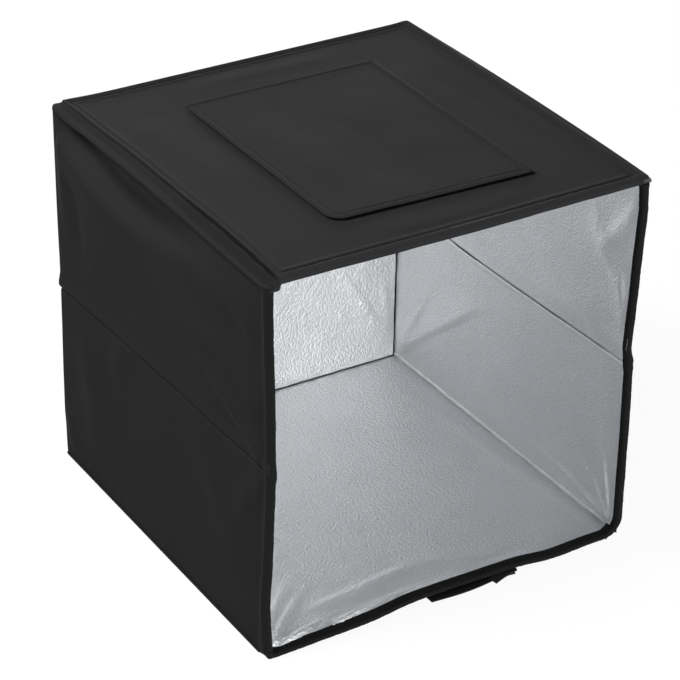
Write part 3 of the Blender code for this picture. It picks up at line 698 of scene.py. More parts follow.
def side_skin(side_name, side, part, low, high, crests, seed):
    """The outer cloth of half a side wall. At the rear it turns in behind the back wall, and at the
    crease the upper half laps over the lower one."""
    flat = span(0, 1, STEP / (WALL_REAR - FRONT))
    turns = np.linspace(0, pi / 2, 6)[1:]
    inward = span(0, REAR_TURN_IN, STEP)[1:]
    start = FRONT + 2 * MM
    share = np.concatenate([flat, np.ones(len(turns) + len(inward))])[:, None]
    arc = np.concatenate([np.zeros(len(flat)), turns, np.full(len(inward), pi / 2)])[:, None]
    run = np.concatenate([np.zeros(len(flat) + len(turns)), inward])[:, None]
    up = fine_at_crease(part, low, high, STEP)[None, :]
    top_share = smooth((up - MID_Z) / (HIGH_Z - MID_Z))
    corner = REAR + REAR_CLEAR + REAR_BULGE * top_share + 0.5 * MM * lumps(up, 0 * up, 40 * MM, seed)
    end = corner - REAR_RADIUS
    y = start + share * (end - start) + REAR_RADIUS * np.sin(arc)
    up = up + 0 * y
    if side_name == "left" and part == "upper":
        up = low + (up - low) * (TOP - 1.6 * MM - strip(y)[1] - low) / (high - low)
    held = 1 - smooth((y - FRONT - SIDE_LAP + 1 * MM) / (10 * MM))
    x = SKIN_X + (HELD_X - SKIN_X) * held
    shape = (relief(y, up, crests) + 0.6 * MM * ripples(y, up, 60 * MM, seed)) * released(y)
    x = x - bow(side_name, y, up) + shape - REAR_RADIUS * (1 - np.cos(arc)) - run
    if part == "lower":
        foot_out = 1.3 * MM * smooth((low + 45 * MM - up) / (42 * MM))
        x = x + foot_out - 2.4 * MM * smooth((up - high) / (5 * MM) + 1)
    else:
        lap_out = 2.0 * MM * smooth((low - up) / (14 * MM) + 1.4)
        x = x + lap_out - 3.0 * MM * smooth((low - up) / (4 * MM) + 1)
    points = stacked(side * x, y, up)
    name = f"{side_name}_{part}"
    piece = add_cloth(name + "_cloth", points, SKIN, name, SKIN_CLOTH, name + "_skin")
    squash_side(piece)


def fine_at_crease(part, low, high, step):
    """Heights on half a side wall, closer together next to the crease."""
    near = 9 * MM
    if part == "lower":
        return spans((low, high - near, high), (step, 1 * MM))
    return spans((low, low + near, high), (1 * MM, step))


def squash_side(piece):
    """Gives a side wall's piece its own copy of its mesh."""
    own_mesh(piece)


def side_lining(side_name, side, part, low, high, folds, seed):
    """The silver cloth on the inside of half a side wall."""
    y, z = grid(spans((FRONT + 2 * MM, FRONT + 40 * MM, WALL_REAR - GAP), (1.2 * MM, STEP)),
                fine_at_crease(part, low, high, STEP if side > 0 else COARSE))
    plane = INNER_X + LINING / 2
    held = 1 - smooth((y - FRONT - SIDE_LAP + 3 * MM) / (4 * MM))
    edge = smooth((z - low) / (6 * MM)) * smooth((high - z) / (6 * MM))
    raised = relief(y, z, folds) * (0.3 + 0.7 * edge) + 0.4 * MM * ripples(y, z, 34 * MM, seed) * edge
    x = plane + (HELD_INNER - plane) * held - bow(side_name, y, z) - raised * released(y)
    from_crease = z - low if part == "upper" else high - z
    turned = 1.2 * MM * smooth(1 - from_crease / (2.4 * MM))
    x = x + turned - 0.5 * MM * bump(from_crease, 3.6 * MM, 1.8 * MM)
    points = stacked(side * x, y, z)
    name = f"{side_name}_{part}"
    piece = add_cloth(name + "_foil", points, LINING, name, FOIL, name + "_lining")
    squash_side(piece)


def side_board(side_name, side, part, low, high):
    """The stiffener of half a side wall, bent as the wall hangs. It ends before the crease."""
    low, high = (low, high - CREASE_ROOM) if part == "lower" else (low + CREASE_ROOM, high)
    y, z = grid(span(BOARD_FRONT, BOARD_X[1].y, COARSE), span(low, high, COARSE))
    middle = (BOARD_X[0].x + BOARD_X[1].x) / 2
    points = stacked(side * (middle - bow(side_name, y, z)), y, z)
    name = f"{side_name}_{part}"
    thickness = BOARD_X[1].x - BOARD_X[0].x
    piece = add_cloth(name + "_stiffener", points, thickness, name, BOARD, name + "_board")
    squash_side(piece)


def tape_section(stack, lap):
    """Middle line of a tape's section round a bound edge: places behind the edge and offsets across it."""
    radius = stack / 2 - TAPE / 2
    laps = span(lap, stack / 2, FINE)
    turns = np.linspace(0, pi, 9)[1:-1]
    behind = np.concatenate([laps, stack / 2 - radius * np.sin(turns), laps[::-1]])
    flat = np.full(len(laps), radius)
    across = np.concatenate([flat, radius * np.cos(turns), -flat])
    return behind, across


def fuzzy(points, along, seed):
    """Roughens a grid as a fuzzy tape is. along is the distance on the grid's two axes."""
    first, second = along
    rough = lumps(first, second, 2.2 * MM, seed) + 0.8 * lumps(first, second, 1.3 * MM, seed + 5)
    slow = lumps(first, second, 16 * MM, seed + 9)
    return points + normals(points) * (FUZZ * rough + 0.25 * MM * slow)[..., None]


def side_binding(side_name, side, part, low, high, seed):
    """The tape on the front edge of half a side wall, thicker where its ends are turned over."""
    behind, across = tape_section(SIDE_STACK, SIDE_LAP)
    z = span(low, high, FINE)
    joint, turn = (low, 1) if part == "upper" else (high, -1)
    thick = 1 + 0.24 * bump(z, joint + turn * 3 * MM, 4 * MM)
    if part == "upper":
        thick = thick + 0.22 * smooth((z - high) / (9 * MM) + 1)
    wander = 0.3 * MM * lumps(z, 0 * z, 45 * MM, seed)
    x = TAPE_X + wander + sway(side_name, FRONT, z) - post_in(side_name, z) + across[:, None] * thick
    foot = 1 - smooth(z / (70 * MM))
    y = FRONT + behind[:, None] - 0.4 * MM * (thick - 1) - forward(side * x, FRONT) * foot
    points = stacked(side * x, y, z)
    length = run_along(behind, across)
    points = fuzzy(points, grid(length, z), seed)
    name = f"{side_name}_{part}"
    piece = add_cloth(name + "_edge_tape", points, TAPE, name, BINDING, name + "_binding")
    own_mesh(piece)


def side_wall(side_name, side, lower_folds, upper_folds, seed):
    """All cloth of a side wall. Its boards come first, because the cloth rests on them."""
    skin_low = 1.2 * MM
    skin_top = HIGH_Z + 6.2 * MM
    no_folds = ((), ())
    folds = (lower_folds, upper_folds)
    outer, inner = (folds, no_folds) if side_name == "left" else (no_folds, folds)
    side_board(side_name, side, "lower", LOW_Z, LOWER_END_Z)
    side_board(side_name, side, "upper", UPPER_START_Z, HIGH_Z)
    side_skin(side_name, side, "lower", skin_low, LOWER_END_Z, outer[0], seed)
    side_skin(side_name, side, "upper", UPPER_START_Z - 1.8 * MM, skin_top, outer[1], seed + 20)
    side_lining(side_name, side, "lower", LOW_Z, LOWER_END_Z, inner[0], seed + 40)
    side_lining(side_name, side, "upper", UPPER_START_Z, HIGH_Z, inner[1], seed + 60)
    side_binding(side_name, side, "lower", LOW_Z, LOWER_END_Z, seed + 80)
    side_binding(side_name, side, "upper", UPPER_START_Z - 1.0 * MM, TOP_UNDER - 0.6 * MM, seed + 90)


def front_lift(x, y):
    """How far the floor's cloth rises at its front edge: over the strap, and at the right end."""
    across = smooth((x - LIFT_START + LIFT_RUN) / LIFT_RUN) * (1 - smooth((x - LIFT_END) / LIFT_RUN))
    back = 1 - smooth((y - FRONT - FLOOR_LAP) / LIFT_DEPTH)
    corner = smooth((x - CORNER_START) / CORNER_RUN) * (1 - smooth((y - FRONT) / CORNER_DEPTH))
    return CORNER_LIFT * corner + FRONT_LIFT * across * back


def floor_follows(points):
    """Moves the floor's cloth with the feet of the walls."""
    x, y, z = np.moveaxis(points, -1, 0)
    out = (sway("right", y, 0 * y) * smooth((x - FEET_START) / FEET_RUN)
           - sway("left", y, 0 * y) * smooth((-x - FEET_START) / FEET_RUN))
    return stacked(x + out, y - forward(x, y), z)


def into_tape(x, y):
    """How far the floor's cloth is drawn in where its tape rounds the front right corner."""
    tucked = 1 - smooth((y - FRONT - 4 * MM) / (7 * MM))
    return (FLOOR_X - TAPE_X + POST_RADIUS["right"]) * tucked * smooth((x - FEET_START) / (70 * MM))


def floor_cloth():
    """The floor's silver cloth, from its bound front edge to behind the foot of the back wall."""
    half = OUTER_X - 5.4 * MM
    x, y = grid(span(-half, half, STEP),
                spans((FRONT + 2 * MM, FRONT + 36 * MM, REAR - 1.4 * MM), (1.1 * MM, STEP)))
    inside = smooth((y - FRONT - 6 * MM) / (8 * MM))
    lower = 1 - smooth((y - FRONT - FLOOR_LAP) / (5 * MM))
    z = FLOOR_TOP - LINING / 2 - 0.2 * MM * lower + front_lift(x, y)
    edges = smooth((FLOOR_X - np.abs(x)) / (10 * MM)) * smooth((REAR - 6 * MM - y) / (8 * MM))
    z = z + np.maximum(relief(x, y, FLOOR_FOLDS) * inside, 0)
    z = z + 0.35 * MM * (1 + ripples(x, y, 30 * MM, 300)) * inside * edges
    puckers = 0.5 * MM * (1 + lumps(x, 0 * y, 9 * MM, 310)) * bump(y, REAR - 9 * MM, 5 * MM)
    crinkled = (0.5 + smooth((-x + 20 * MM) / (120 * MM))) * bump(y, FRONT + FLOOR_LAP + 3 * MM, 5 * MM)
    crinkles = 1.3 * MM * np.maximum(lumps(x, y, 4 * MM, 320), 0) * crinkled
    z = z + puckers + crinkles * inside
    points = floor_follows(stacked(x - into_tape(x, y), y, z))
    piece = add_cloth("floor_foil", points, LINING, "floor", FLOOR_FOIL, "floor_lining")
    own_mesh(piece)


def floor_outer_cloth():
    """The black cloth under the floor and up its sides and rear."""
    half = FLOOR_X + GAP + SKIN / 2
    front = FRONT + 2 * MM
    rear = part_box("floor_skin")[1].y - SKIN / 2
    rise = 2.6 * MM
    u, v = grid(spans((-half - rise, -half, half, half + rise), (0.9 * MM, COARSE, 0.9 * MM)),
                spans((front, FRONT + 30 * MM, rear, rear + rise), (1.6 * MM, COARSE, 0.9 * MM)))
    over_side = np.maximum(np.abs(u) - half, 0)
    over_rear = np.maximum(v - rear, 0)
    x = np.clip(u, -half, half)
    y = np.clip(v, None, rear)
    lap = 1 - smooth((y - FRONT - FLOOR_LAP) / (5 * MM))
    squeeze = (FLOOR_X + GAP - OUTER_X + 6 * MM) / half * lap
    z = SKIN / 2 + np.maximum(over_side, over_rear) + 1.1 * MM * lap + front_lift(x, y)
    inside = smooth((half - np.abs(x)) / (12 * MM)) * smooth((rear - y) / (12 * MM)) * (1 - lap)
    z = z + 0.3 * MM * (1 + ripples(x, y, 40 * MM, 330)) * inside
    points = floor_follows(stacked(x * (1 - squeeze) - into_tape(x, y), y, z))
    piece = add_cloth("floor_cloth", points, SKIN, "floor", SKIN_CLOTH, "floor_skin")


def floor_binding():
    """The floor's tape: up the left post, round the corner, along the front and up the right post."""
    behind, across = tape_section(FLOOR_STACK, FLOOR_LAP)
    base = FLOOR_STACK / 2
    ends = []
    for side_name, side in (("left", -1), ("right", 1)):
        radius = POST_RADIUS[side_name]
        head = LOW_Z - 2 * GAP
        turns = np.linspace(np.arcsin(np.clip((base + radius - head) / radius, 0, 1)), pi / 2, 16)
        x = side * (TAPE_X - radius * (1 - np.cos(turns)))
        end = stacked(x, base + radius * (1 - np.sin(turns)), side * np.cos(turns), -np.sin(turns))
        if head > base + radius:
            end = np.concatenate([[[side * TAPE_X, head, side, 0]], end])
        ends.append(end)
    along = span(ends[0][-1, 0], ends[1][-1, 0], FINE)[1:-1]
    flat_part = stacked(along, base, 0 * along, -1)
    path = np.concatenate([ends[0], flat_part, ends[1][::-1]])
    x, z, nx, nz = (column[None, :] for column in path.T)
    length = run_along(path[:, 0], path[:, 1])[None, :]
    reach = across[:, None] * (1 + (SIDE_STACK / FLOOR_STACK - 1) * smooth(np.abs(nx) * 1.2))
    wave = 0.35 * MM * lumps(length, 0 * length, 30 * MM, 342) * bump(x, 0, 160 * MM)
    lift = front_lift(x, FRONT + 0 * x) + np.maximum(wave, 0)
    points = stacked(x + nx * reach, FRONT + behind[:, None], z + nz * reach + lift)
    wide = run_along(behind, across)
    points = fuzzy(points, grid(wide, length[0]), 340)
    points[..., 2] = np.maximum(points[..., 2], TAPE / 2)
    points = floor_follows(points)
    piece = add_cloth("floor_edge_tape", points, TAPE, "floor", BINDING, "floor_binding")
    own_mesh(piece)


def floor_seams():
    """The seams that carry the side walls: a strip outside, and a rolled welt inside."""
    for side_name, side in (("left", -1), ("right", 1)):
        y = span(FRONT + SIDE_LAP, WALL_REAR, STEP)[:, None]
        z = np.linspace(0.6 * MM, LOW_Z - GAP, 5)[None, :]
        x = OUTER_X - 1.9 * MM + 0.3 * MM * lumps(y, z, 20 * MM, 350) + sway(side_name, y, z)
        points = stacked(side * x, y, z)
        name = f"floor_{side_name}_seam"
        piece = add_cloth(name + "_cloth", points, SKIN, "floor", SKIN_CLOTH, name)
        welt(side_name, side)


def welt(side_name, side):
    """The rolled edge of the silver cloth between the floor and a side wall."""
    y = span(FRONT + 8 * MM, WALL_REAR - 1 * MM, 1.5 * MM)[:, None]
    turn = np.linspace(radians(-35), radians(215), 12)[None, :]
    pucker = 1 + 0.18 * lumps(y, 0 * y, 5 * MM, 360) + 0.16 * lumps(y, 0 * y, 14 * MM, 361)
    front = smooth((y - FRONT) / (60 * MM))
    radius = 2.7 * MM * pucker * (0.8 + 0.2 * front)
    middle_x = INNER_X + 1.9 * MM + (1 - front) * MM + sway(side_name, y, 0 * y)
    middle_z = FLOOR_TOP + 2.6 * MM
    x = middle_x - radius * np.sin(turn)
    z = middle_z + radius * np.cos(turn) * 1.15
    points = stacked(side * x, y, z)
    name = f"{side_name}_floor_welt"
    piece = add_cloth(name, points, LINING, "floor", FOIL)


def floor_back_seam():
    """The strip at the rear that carries the back wall."""
    low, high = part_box("floor_back_seam")
    x = span(low.x, high.x, STEP)[:, None]
    z = np.linspace(0.5 * MM, high.z + 0.6 * MM, 5)[None, :]
    y = high.y - SKIN / 2 + 0.7 * MM * (1 + lumps(x, z, 24 * MM, 370)) * 0.5 + 0 * z
    points = stacked(x, y, z)
    piece = add_cloth("floor_back_seam_cloth", points, SKIN, "floor", SKIN_CLOTH, "floor_back_seam")


def strap_and_pad():
    """The webbing strap under the front edge and the hook pad at its end."""
    low, high = STRAP
    x, y = grid(span(low.x, high.x, 1.5 * MM), span(low.y, high.y, 1.5 * MM))
    along = (x - low.x) / (high.x - low.x)
    z = 1.0 * MM + 2.2 * MM * np.sin(pi * along) ** 0.8 * (1 - smooth((y - low.y) / (14 * MM)))
    y = y - 4.5 * MM * np.sin(pi * np.clip(along * 1.25, 0, 1)) * (1 - (y - low.y) / (high.y - low.y))
    points = stacked(x, y, z)
    strap = add_cloth("strap_webbing", points, STRAP_THICK, "floor", WEBBING, "closure_strap")

    u, v = grid(np.linspace(0, 1, 26), np.linspace(0, 1, 16))
    shares = ((1 - u) * (1 - v), u * (1 - v), u * v, (1 - u) * v)
    x, y = (sum(corner[axis] * share for corner, share in zip(PAD_CORNERS, shares)) * MM for axis in (0, 1))
    lift = PAD[0].z + 0.8 * MM + 1.0 * MM * (1 - v) * np.sin(pi * u) + 0.4 * MM * ripples(x, y, 8 * MM, 380)
    points = stacked(x, y, lift + 0.4 * MM)
    pad = add_cloth("hook_pad", points, PAD_THICK, "floor", HOOK_LOOP, "closure_hook_pad")


def hem_inset(x, y):
    """Distance inwards over the top's hem, counted so that the stitches lie at HEM_STITCH on every side."""
    left = x - hem_x(y) + HEM_START["left"]
    right = TOP_X - x + HEM_START["right"]
    front = y - FRONT + HEM_START["front"]
    rear = REAR + HEM_START["rear"] - y
    return least(left, right, front, rear)


def top_height(x, y):
    """Height of the top's cloth over its plane: hem, stitch groove, undulations off the flap."""
    inset = hem_inset(x, y)
    corner = 1.8 * MM * np.exp(-((x + TOP_X) ** 2 + (y - TOP_REAR) ** 2) / (2 * (22 * MM) ** 2))
    groove = corner - 1.5 * MM * bump(inset, HEM_STITCH, 1.2 * MM) * (1 + 0.35 * lumps(x, y, 7 * MM, 401))
    roll = 1.6 * MM * bump(inset, 3.6 * MM, 2.4 * MM)
    roll = roll + 0.9 * MM * (1 - smooth((inset - HEM_WIDE) / (2 * MM)))
    beside = -least(x - FLAP_LOW.x, FLAP_SEAM[1].x - x, y - FLAP_LOW.y, FLAP_HIGH.y - y)
    free = smooth((inset - 8 * MM) / (20 * MM)) * smooth(beside / (14 * MM))
    waves = relief(x, y, TOP_FOLDS) + 0.8 * MM * ripples(x, y, 70 * MM, 400)
    return groove + roll + waves * free


def windowed(u, v):
    """A grid with the camera window in it: its places, and which of its cells stay."""
    x, y = grid(u, v)
    middle_x, middle_y = middles(x), middles(y)
    inside = ((middle_x > WINDOW_LOW[0]) & (middle_x < WINDOW_HIGH[0])
              & (middle_y > WINDOW_LOW[1]) & (middle_y < WINDOW_HIGH[1]))
    for x_edge, x_turn in ((WINDOW_LOW[0], 1), (WINDOW_HIGH[0], -1)):
        for y_edge, y_turn in ((WINDOW_LOW[1], 1), (WINDOW_HIGH[1], -1)):
            x, y = ends_rounded(x, y, (x_edge, y_edge), (x_turn, y_turn), WINDOW_CORNER)
    return x, y, ~inside


def over_rim(u, v, low, high, corner):
    """A grid's places held a corner's width inside the box from low to high, the way out from there to
    each place, and how far out it is."""
    base_u = np.clip(u, low[0] + corner, high[0] - corner)
    base_v = np.clip(v, low[1] + corner, high[1] - corner)
    off_u, off_v = u - base_u, v - base_v
    size = np.maximum(np.hypot(off_u, off_v), 1e-9)
    return base_u, base_v, off_u / size, off_v / size, np.maximum(np.abs(off_u), np.abs(off_v))


def top_cloth():
    """The top's black cloth: one sheet with its rims turned down and the camera window cut out."""
    corner = 6 * MM
    rim, short_rim = 4.3 * MM, 1.4 * MM
    roll = 1.8 * MM
    low_x, high_x = -TOP_X - 0.8 * MM, TOP_X + 0.8 * MM
    low_y, high_y = FRONT - 0.3 * MM, REAR + 0.9 * MM
    steps = (0.7 * MM, 0.7 * MM, STEP, STEP, STEP, 1.2 * MM, 1.0 * MM)
    axes = []
    for axis, low, high, band in ((0, low_x, high_x, 24 * MM), (1, low_y, high_y, 18 * MM)):
        axes.append(spans((low - short_rim, low, low + band, WINDOW_LOW[axis], WINDOW_HIGH[axis],
                           high - 14 * MM, high, high + rim), steps))
    grid_u, grid_v, keep = windowed(*axes)
    x, y, off_x, off_y, reach = over_rim(grid_u, grid_v, (low_x, low_y), (high_x, high_y), corner)
    turn = np.clip((reach - corner + roll) / roll, 0, pi / 2)
    out = np.minimum(reach, corner - roll) + roll * np.sin(turn)
    drop = roll * (1 - np.cos(turn)) + np.maximum(reach - corner + roll - roll * pi / 2, 0)
    x = x + off_x * out
    y = y + off_y * out
    left_out = sway("left", y, TOP) * smooth((-x - 165 * MM) / (35 * MM))
    right_out = sway("right", y, TOP) * smooth((x - 130 * MM) / (65 * MM))
    x = x - left_out + right_out
    over = smooth(1 - drop / roll)
    z = TOP - SKIN / 2 - drop + top_height(x, y) * over + 1.2 * MM * bump(x, 0.205, 0.016) * over
    z = z - 1.3 * MM * bump(x, 10 * MM, 90 * MM) * (1 - smooth((y - FRONT) / 0.05))
    channel, edge, overhang = strip(y)
    at_front = smooth((y - FRONT) / (16 * MM))
    channel, overhang = edge + (channel - edge) * at_front, overhang * at_front
    outside = hem_x(y) - x
    wide = hem_x(y) - low_x + sway("left", y, TOP)
    fall = smooth(outside / (2.4 * MM))
    rise = smooth((outside - 2.4 * MM) / (wide - 3.4 * MM))
    z = z - channel * fall + (channel - edge) * rise
    x = x + overhang * fall * (1 - smooth((outside - 1.8 * MM) / (0.6 * wide)))
    side = np.sign(off_x) * (np.abs(off_x) > np.abs(off_y))
    x = x + side * 0.5 * MM * (1 - over) * lumps(y, z, 30 * MM, 411)
    z = z + 0.4 * MM * lumps(x, y, 26 * MM, 410) * (1 - over)
    piece = add_cloth("top_cloth", stacked(x, y, z), SKIN, "top", SKIN_CLOTH, "top_skin",
                      keep=keep)


def top_seam(side_name, side):
    """The strip under the top's rim that carries a side wall: it closes the gap between them."""
    y = span(FRONT + 8 * MM, WALL_REAR, STEP)[:, None]
    share = np.linspace(0, 1, 6)[None, :]
    high = TOP - 2.2 * MM - (strip(y)[1] if side_name == "left" else 0 * y)
    low = HIGH_Z + 1.4 * MM
    at_top = TOP_X - 0.2 * MM + sway(side_name, y, TOP)
    at_wall = SKIN_X - SKIN - 0.2 * MM - bow(side_name, y, low + 0 * y)
    x = at_top + (at_wall - at_top) * share - 0.8 * MM * np.sin(pi * share)
    points = stacked(side * x, y, high + (low - high) * share)
    name = f"top_{side_name}_seam"
    piece = add_cloth(name + "_cloth", points, SKIN, "top", SKIN_CLOTH, name)


def under_top(low, high, front=0):
    """A coarse grid from low to high with the window in it, cut back under the top's left hem."""
    u = spans((low.x, WINDOW_LOW[0], WINDOW_HIGH[0], high.x), (COARSE,) * 3)
    v = spans((low.y + front, WINDOW_LOW[1], WINDOW_HIGH[1], high.y), (COARSE,) * 3)
    x, y, keep = windowed(u, v)
    return np.maximum(x, hem_x(y) + 1.5 * MM + strip(y)[2] + (x - low.x) / 20), y, keep


def top_board():
    """The top's stiffener, cut back under the left hem."""
    low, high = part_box("top_board")
    x, y, keep = under_top(low, high)
    points = stacked(x, y, (low.z + high.z) / 2)
    add_cloth("top_stiffener", points, high.z - low.z, "top", BOARD, "top_board", keep=keep)


def top_lining():
    """The silver cloth under the top, with the window cut out."""
    low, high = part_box("top_lining")
    x, y, keep = under_top(low, high, 9 * MM)
    bars = np.minimum(np.abs(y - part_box("front_light_channel")[0].y - 7 * MM),
                      np.abs(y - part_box("rear_light_channel")[0].y - 7 * MM))
    sag = 0.9 * MM * (0.6 + 0.4 * ripples(x, y, 50 * MM, 420)) * smooth((bars - 9 * MM) / (20 * MM))
    edges = smooth(least(high.x - np.abs(x), y - low.y, high.y - y) / (20 * MM))
    points = stacked(x, y, low.z + LINING / 2 - sag * edges)
    piece = add_cloth("top_foil", points, LINING, "top", FOIL, "top_lining", keep=keep)


def corner_patch():
    """The grey end of the hem's cloth, folded over the top's front right corner."""
    x = span(TOP_X - 5.5 * MM, TOP_X + 3.6 * MM, 1 * MM)[:, None]
    v = np.linspace(0, 1, 9)[None, :]
    share = (x - x[0]) / (x[-1] - x[0])
    back = 4.5 * MM * (1 - smooth(v / 0.6)) * share
    y = FRONT - 1.3 * MM + back + 0 * x
    z = TOP + 1.2 * MM - 3.4 * MM * smooth((v - 0.35) / 0.65) * (0.3 + 0.7 * share) + 0 * x
    piece = add_cloth("hem_end", stacked(x, y, z), 0.5 * MM, "top", HEM_BACK)


def flap_cloth():
    """The flap: its hems are raised at the rear and right, and its free edges droop a little."""
    low, high = FLAP_LOW, FLAP_HIGH
    u = spans((low.x, low.x + 14 * MM, high.x - 14 * MM, high.x), (1.2 * MM, STEP, 1.2 * MM))
    v = spans((low.y, low.y + 14 * MM, high.y - 14 * MM, high.y), (1.2 * MM, STEP, 1.2 * MM))
    x, y = grid(u, v)
    left, front, right, rear = x - low.x, y - low.y, high.x - x, high.y - y
    inset = least(left, right, front, rear)
    corners = (((low.x, low.y), (1, 1), FLAP_ROUND), ((high.x, low.y), (-1, 1), FLAP_CORNER),
               ((low.x, high.y), (1, -1), FLAP_CORNER), ((high.x, high.y), (-1, -1), FLAP_CORNER))
    for corner in corners:
        x, y = ends_rounded(x, y, *corner)
    skew = (1 - (x - low.x) / (high.x - low.x)) * 7 * MM
    y = y + skew * (1 - (y - low.y) / (high.y - low.y)) ** 2
    ridge = 1.1 * MM * (bump(rear, 3.2 * MM, 2.4 * MM) + bump(right, 3.2 * MM, 2.4 * MM))
    groove = -0.9 * MM * bump(inset, 6.2 * MM, 1.2 * MM) * (1 + 0.35 * lumps(x, y, 6 * MM, 431))
    droop = 0.9 * MM * (1 - smooth(least(left, front, rear) / (5 * MM)))
    edge_wave = 0.3 * MM * lumps(x, y, 40 * MM, 432) * (1 - smooth(inset / (20 * MM)))
    edge_wave = edge_wave * smooth(right / (20 * MM))
    free = smooth((inset - 6 * MM) / (16 * MM))
    waves = (relief(x, y, FLAP_FOLDS) + 0.8 * MM * ripples(x, y, 60 * MM, 430)) * free
    z = high.z - SKIN / 2 + 0.4 * MM + ridge + groove - droop + edge_wave + np.maximum(waves, -0.8 * MM)
    points = stacked(x, y, z)
    piece = add_cloth("flap_cloth", points, SKIN, "flap", SKIN_CLOTH, "flap_skin")
    return points


def flap_lining():
    """The flap's silver cloth."""
    low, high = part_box("flap_lining")
    x, y = grid(span(low.x, high.x, COARSE), span(low.y, high.y, COARSE))
    z = (low.z + high.z) / 2 - 0.25 * MM + 0.25 * MM * ripples(x, y, 40 * MM, 440)
    for corner in (((low.x, low.y), (1, 1), FLAP_ROUND), ((low.x, high.y), (1, -1), FLAP_CORNER)):
        x, y = ends_rounded(x, y, *corner)
    points = stacked(x, y, z + 0.2 * MM)
    piece = add_cloth("flap_foil", points, LINING, "flap", FOIL, "flap_lining")


def flap_hinge():
    """The strip of cloth by which the flap is sewn on, from under the flap's edge down to the top."""
    seam_low, seam_high = FLAP_SEAM
    u = np.linspace(0, 1, 11)[:, None]
    y = span(seam_low.y + 1 * MM, seam_high.y - 1 * MM, STEP)[None, :]
    x = FLAP_HIGH.x - 5 * MM + u * (seam_high.x - FLAP_HIGH.x + 5 * MM) + 0 * y
    ends = smooth(np.minimum(y - y[0, 0], y[0, -1] - y) / (7 * MM))
    rise = (FLAP_HIGH.z + 0.7 * MM - seam_low.z) * (0.45 + 0.55 * ends)
    z = seam_low.z + rise * (1 - smooth((u - 0.4) / 0.6)) + 0.2 * MM * lumps(x, y + 0 * u, 12 * MM, 450)
    points = stacked(x, y, z)
    piece = add_cloth("flap_hinge_cloth", points, SKIN, None, SKIN_CLOTH, "flap_seam")
    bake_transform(piece)


def closure_tape(name, node_name, body):
    """Hook or loop tape round three sides of the window."""
    low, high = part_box(node_name)
    width = 16 * MM
    u = spans((low.x, low.x + width, high.x), (FINE, STEP))
    v = spans((low.y, low.y + width, high.y - width, high.y), (FINE, STEP, FINE))
    x, y = grid(u, v)
    middle_x, middle_y = middles(x), middles(y)
    keep = (middle_x < low.x + width) | (middle_y < low.y + width) | (middle_y > high.y - width)
    z = (low.z + high.z) / 2 + 0.1 * MM * lumps(x, y, 2.5 * MM, 460)
    piece = add_cloth(name, stacked(x, y, z), high.z - low.z, body, HOOK_LOOP, node_name,
                      keep=keep)


def back_cloth():
    """The black cloth behind the back wall, turned over its board's edges."""
    low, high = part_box("back_skin")
    rim = 2.4 * MM
    corner = 3 * MM
    middle_z = (low.z + high.z) / 2
    half_x, half_z = (high.x - low.x) / 2, (high.z - low.z) / 2
    u = spans((-half_x - rim, -half_x, half_x, half_x + rim), (1.0 * MM, COARSE, 1.0 * MM))
    v = spans((-half_z - rim, -half_z, half_z, half_z + rim), (1.0 * MM, COARSE, 1.0 * MM))
    x, z, off_x, off_z, reach = over_rim(*grid(u, v), (-half_x, -half_z), (half_x, half_z), corner)
    x = x + off_x * np.minimum(reach, corner) * (1 - SKIN / 2 / corner)
    z = middle_z + z + off_z * np.minimum(reach, corner) * (1 - SKIN / 2 / corner)
    inset = np.minimum(half_x - np.abs(x), half_z - np.abs(z - middle_z))
    free = smooth((inset - 4 * MM) / (30 * MM))
    shape = 0.5 * MM * (1 + ripples(x, z, 70 * MM, 500)) * free - 0.3 * MM * bump(inset, 8 * MM, 1.6 * MM)
    y = high.y - SKIN / 2 - np.maximum(reach - corner, 0) + shape
    piece = add_cloth("back_cloth", stacked(x, y, z), SKIN, "back", SKIN_CLOTH, "back_skin")


def back_lining():
    """The silver cloth on the inside of the back wall, with its edges a little wavy."""
    low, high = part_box("back_lining")
    x, z = grid(span(low.x - 0.6 * MM, high.x + 0.6 * MM, STEP), span(low.z, high.z, STEP))
    inset = least(x - low.x, high.x - x, z - low.z, high.z - z)
    free = smooth(inset / (12 * MM))
    edge = 1 - smooth(inset / (8 * MM))
    shape = np.maximum(relief(x, z, BACK_FOLDS), 0) + 0.35 * MM * (1 + ripples(x, z, 34 * MM, 520))
    y = low.y + LINING / 2 - 0.15 * MM - shape * free - 0.25 * MM * edge * (1 + lumps(x, z, 9 * MM, 522))
    uneven = 0.5 * MM * (1 + lumps(z, 0 * z, 15 * MM, 523))
    across = x - np.sign(x) * uneven * (1 - smooth(inset / (5 * MM)))
    piece = add_cloth("back_foil", stacked(across, y, z), LINING, "back", BACK_FOIL,
                      "back_lining")
    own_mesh(piece)


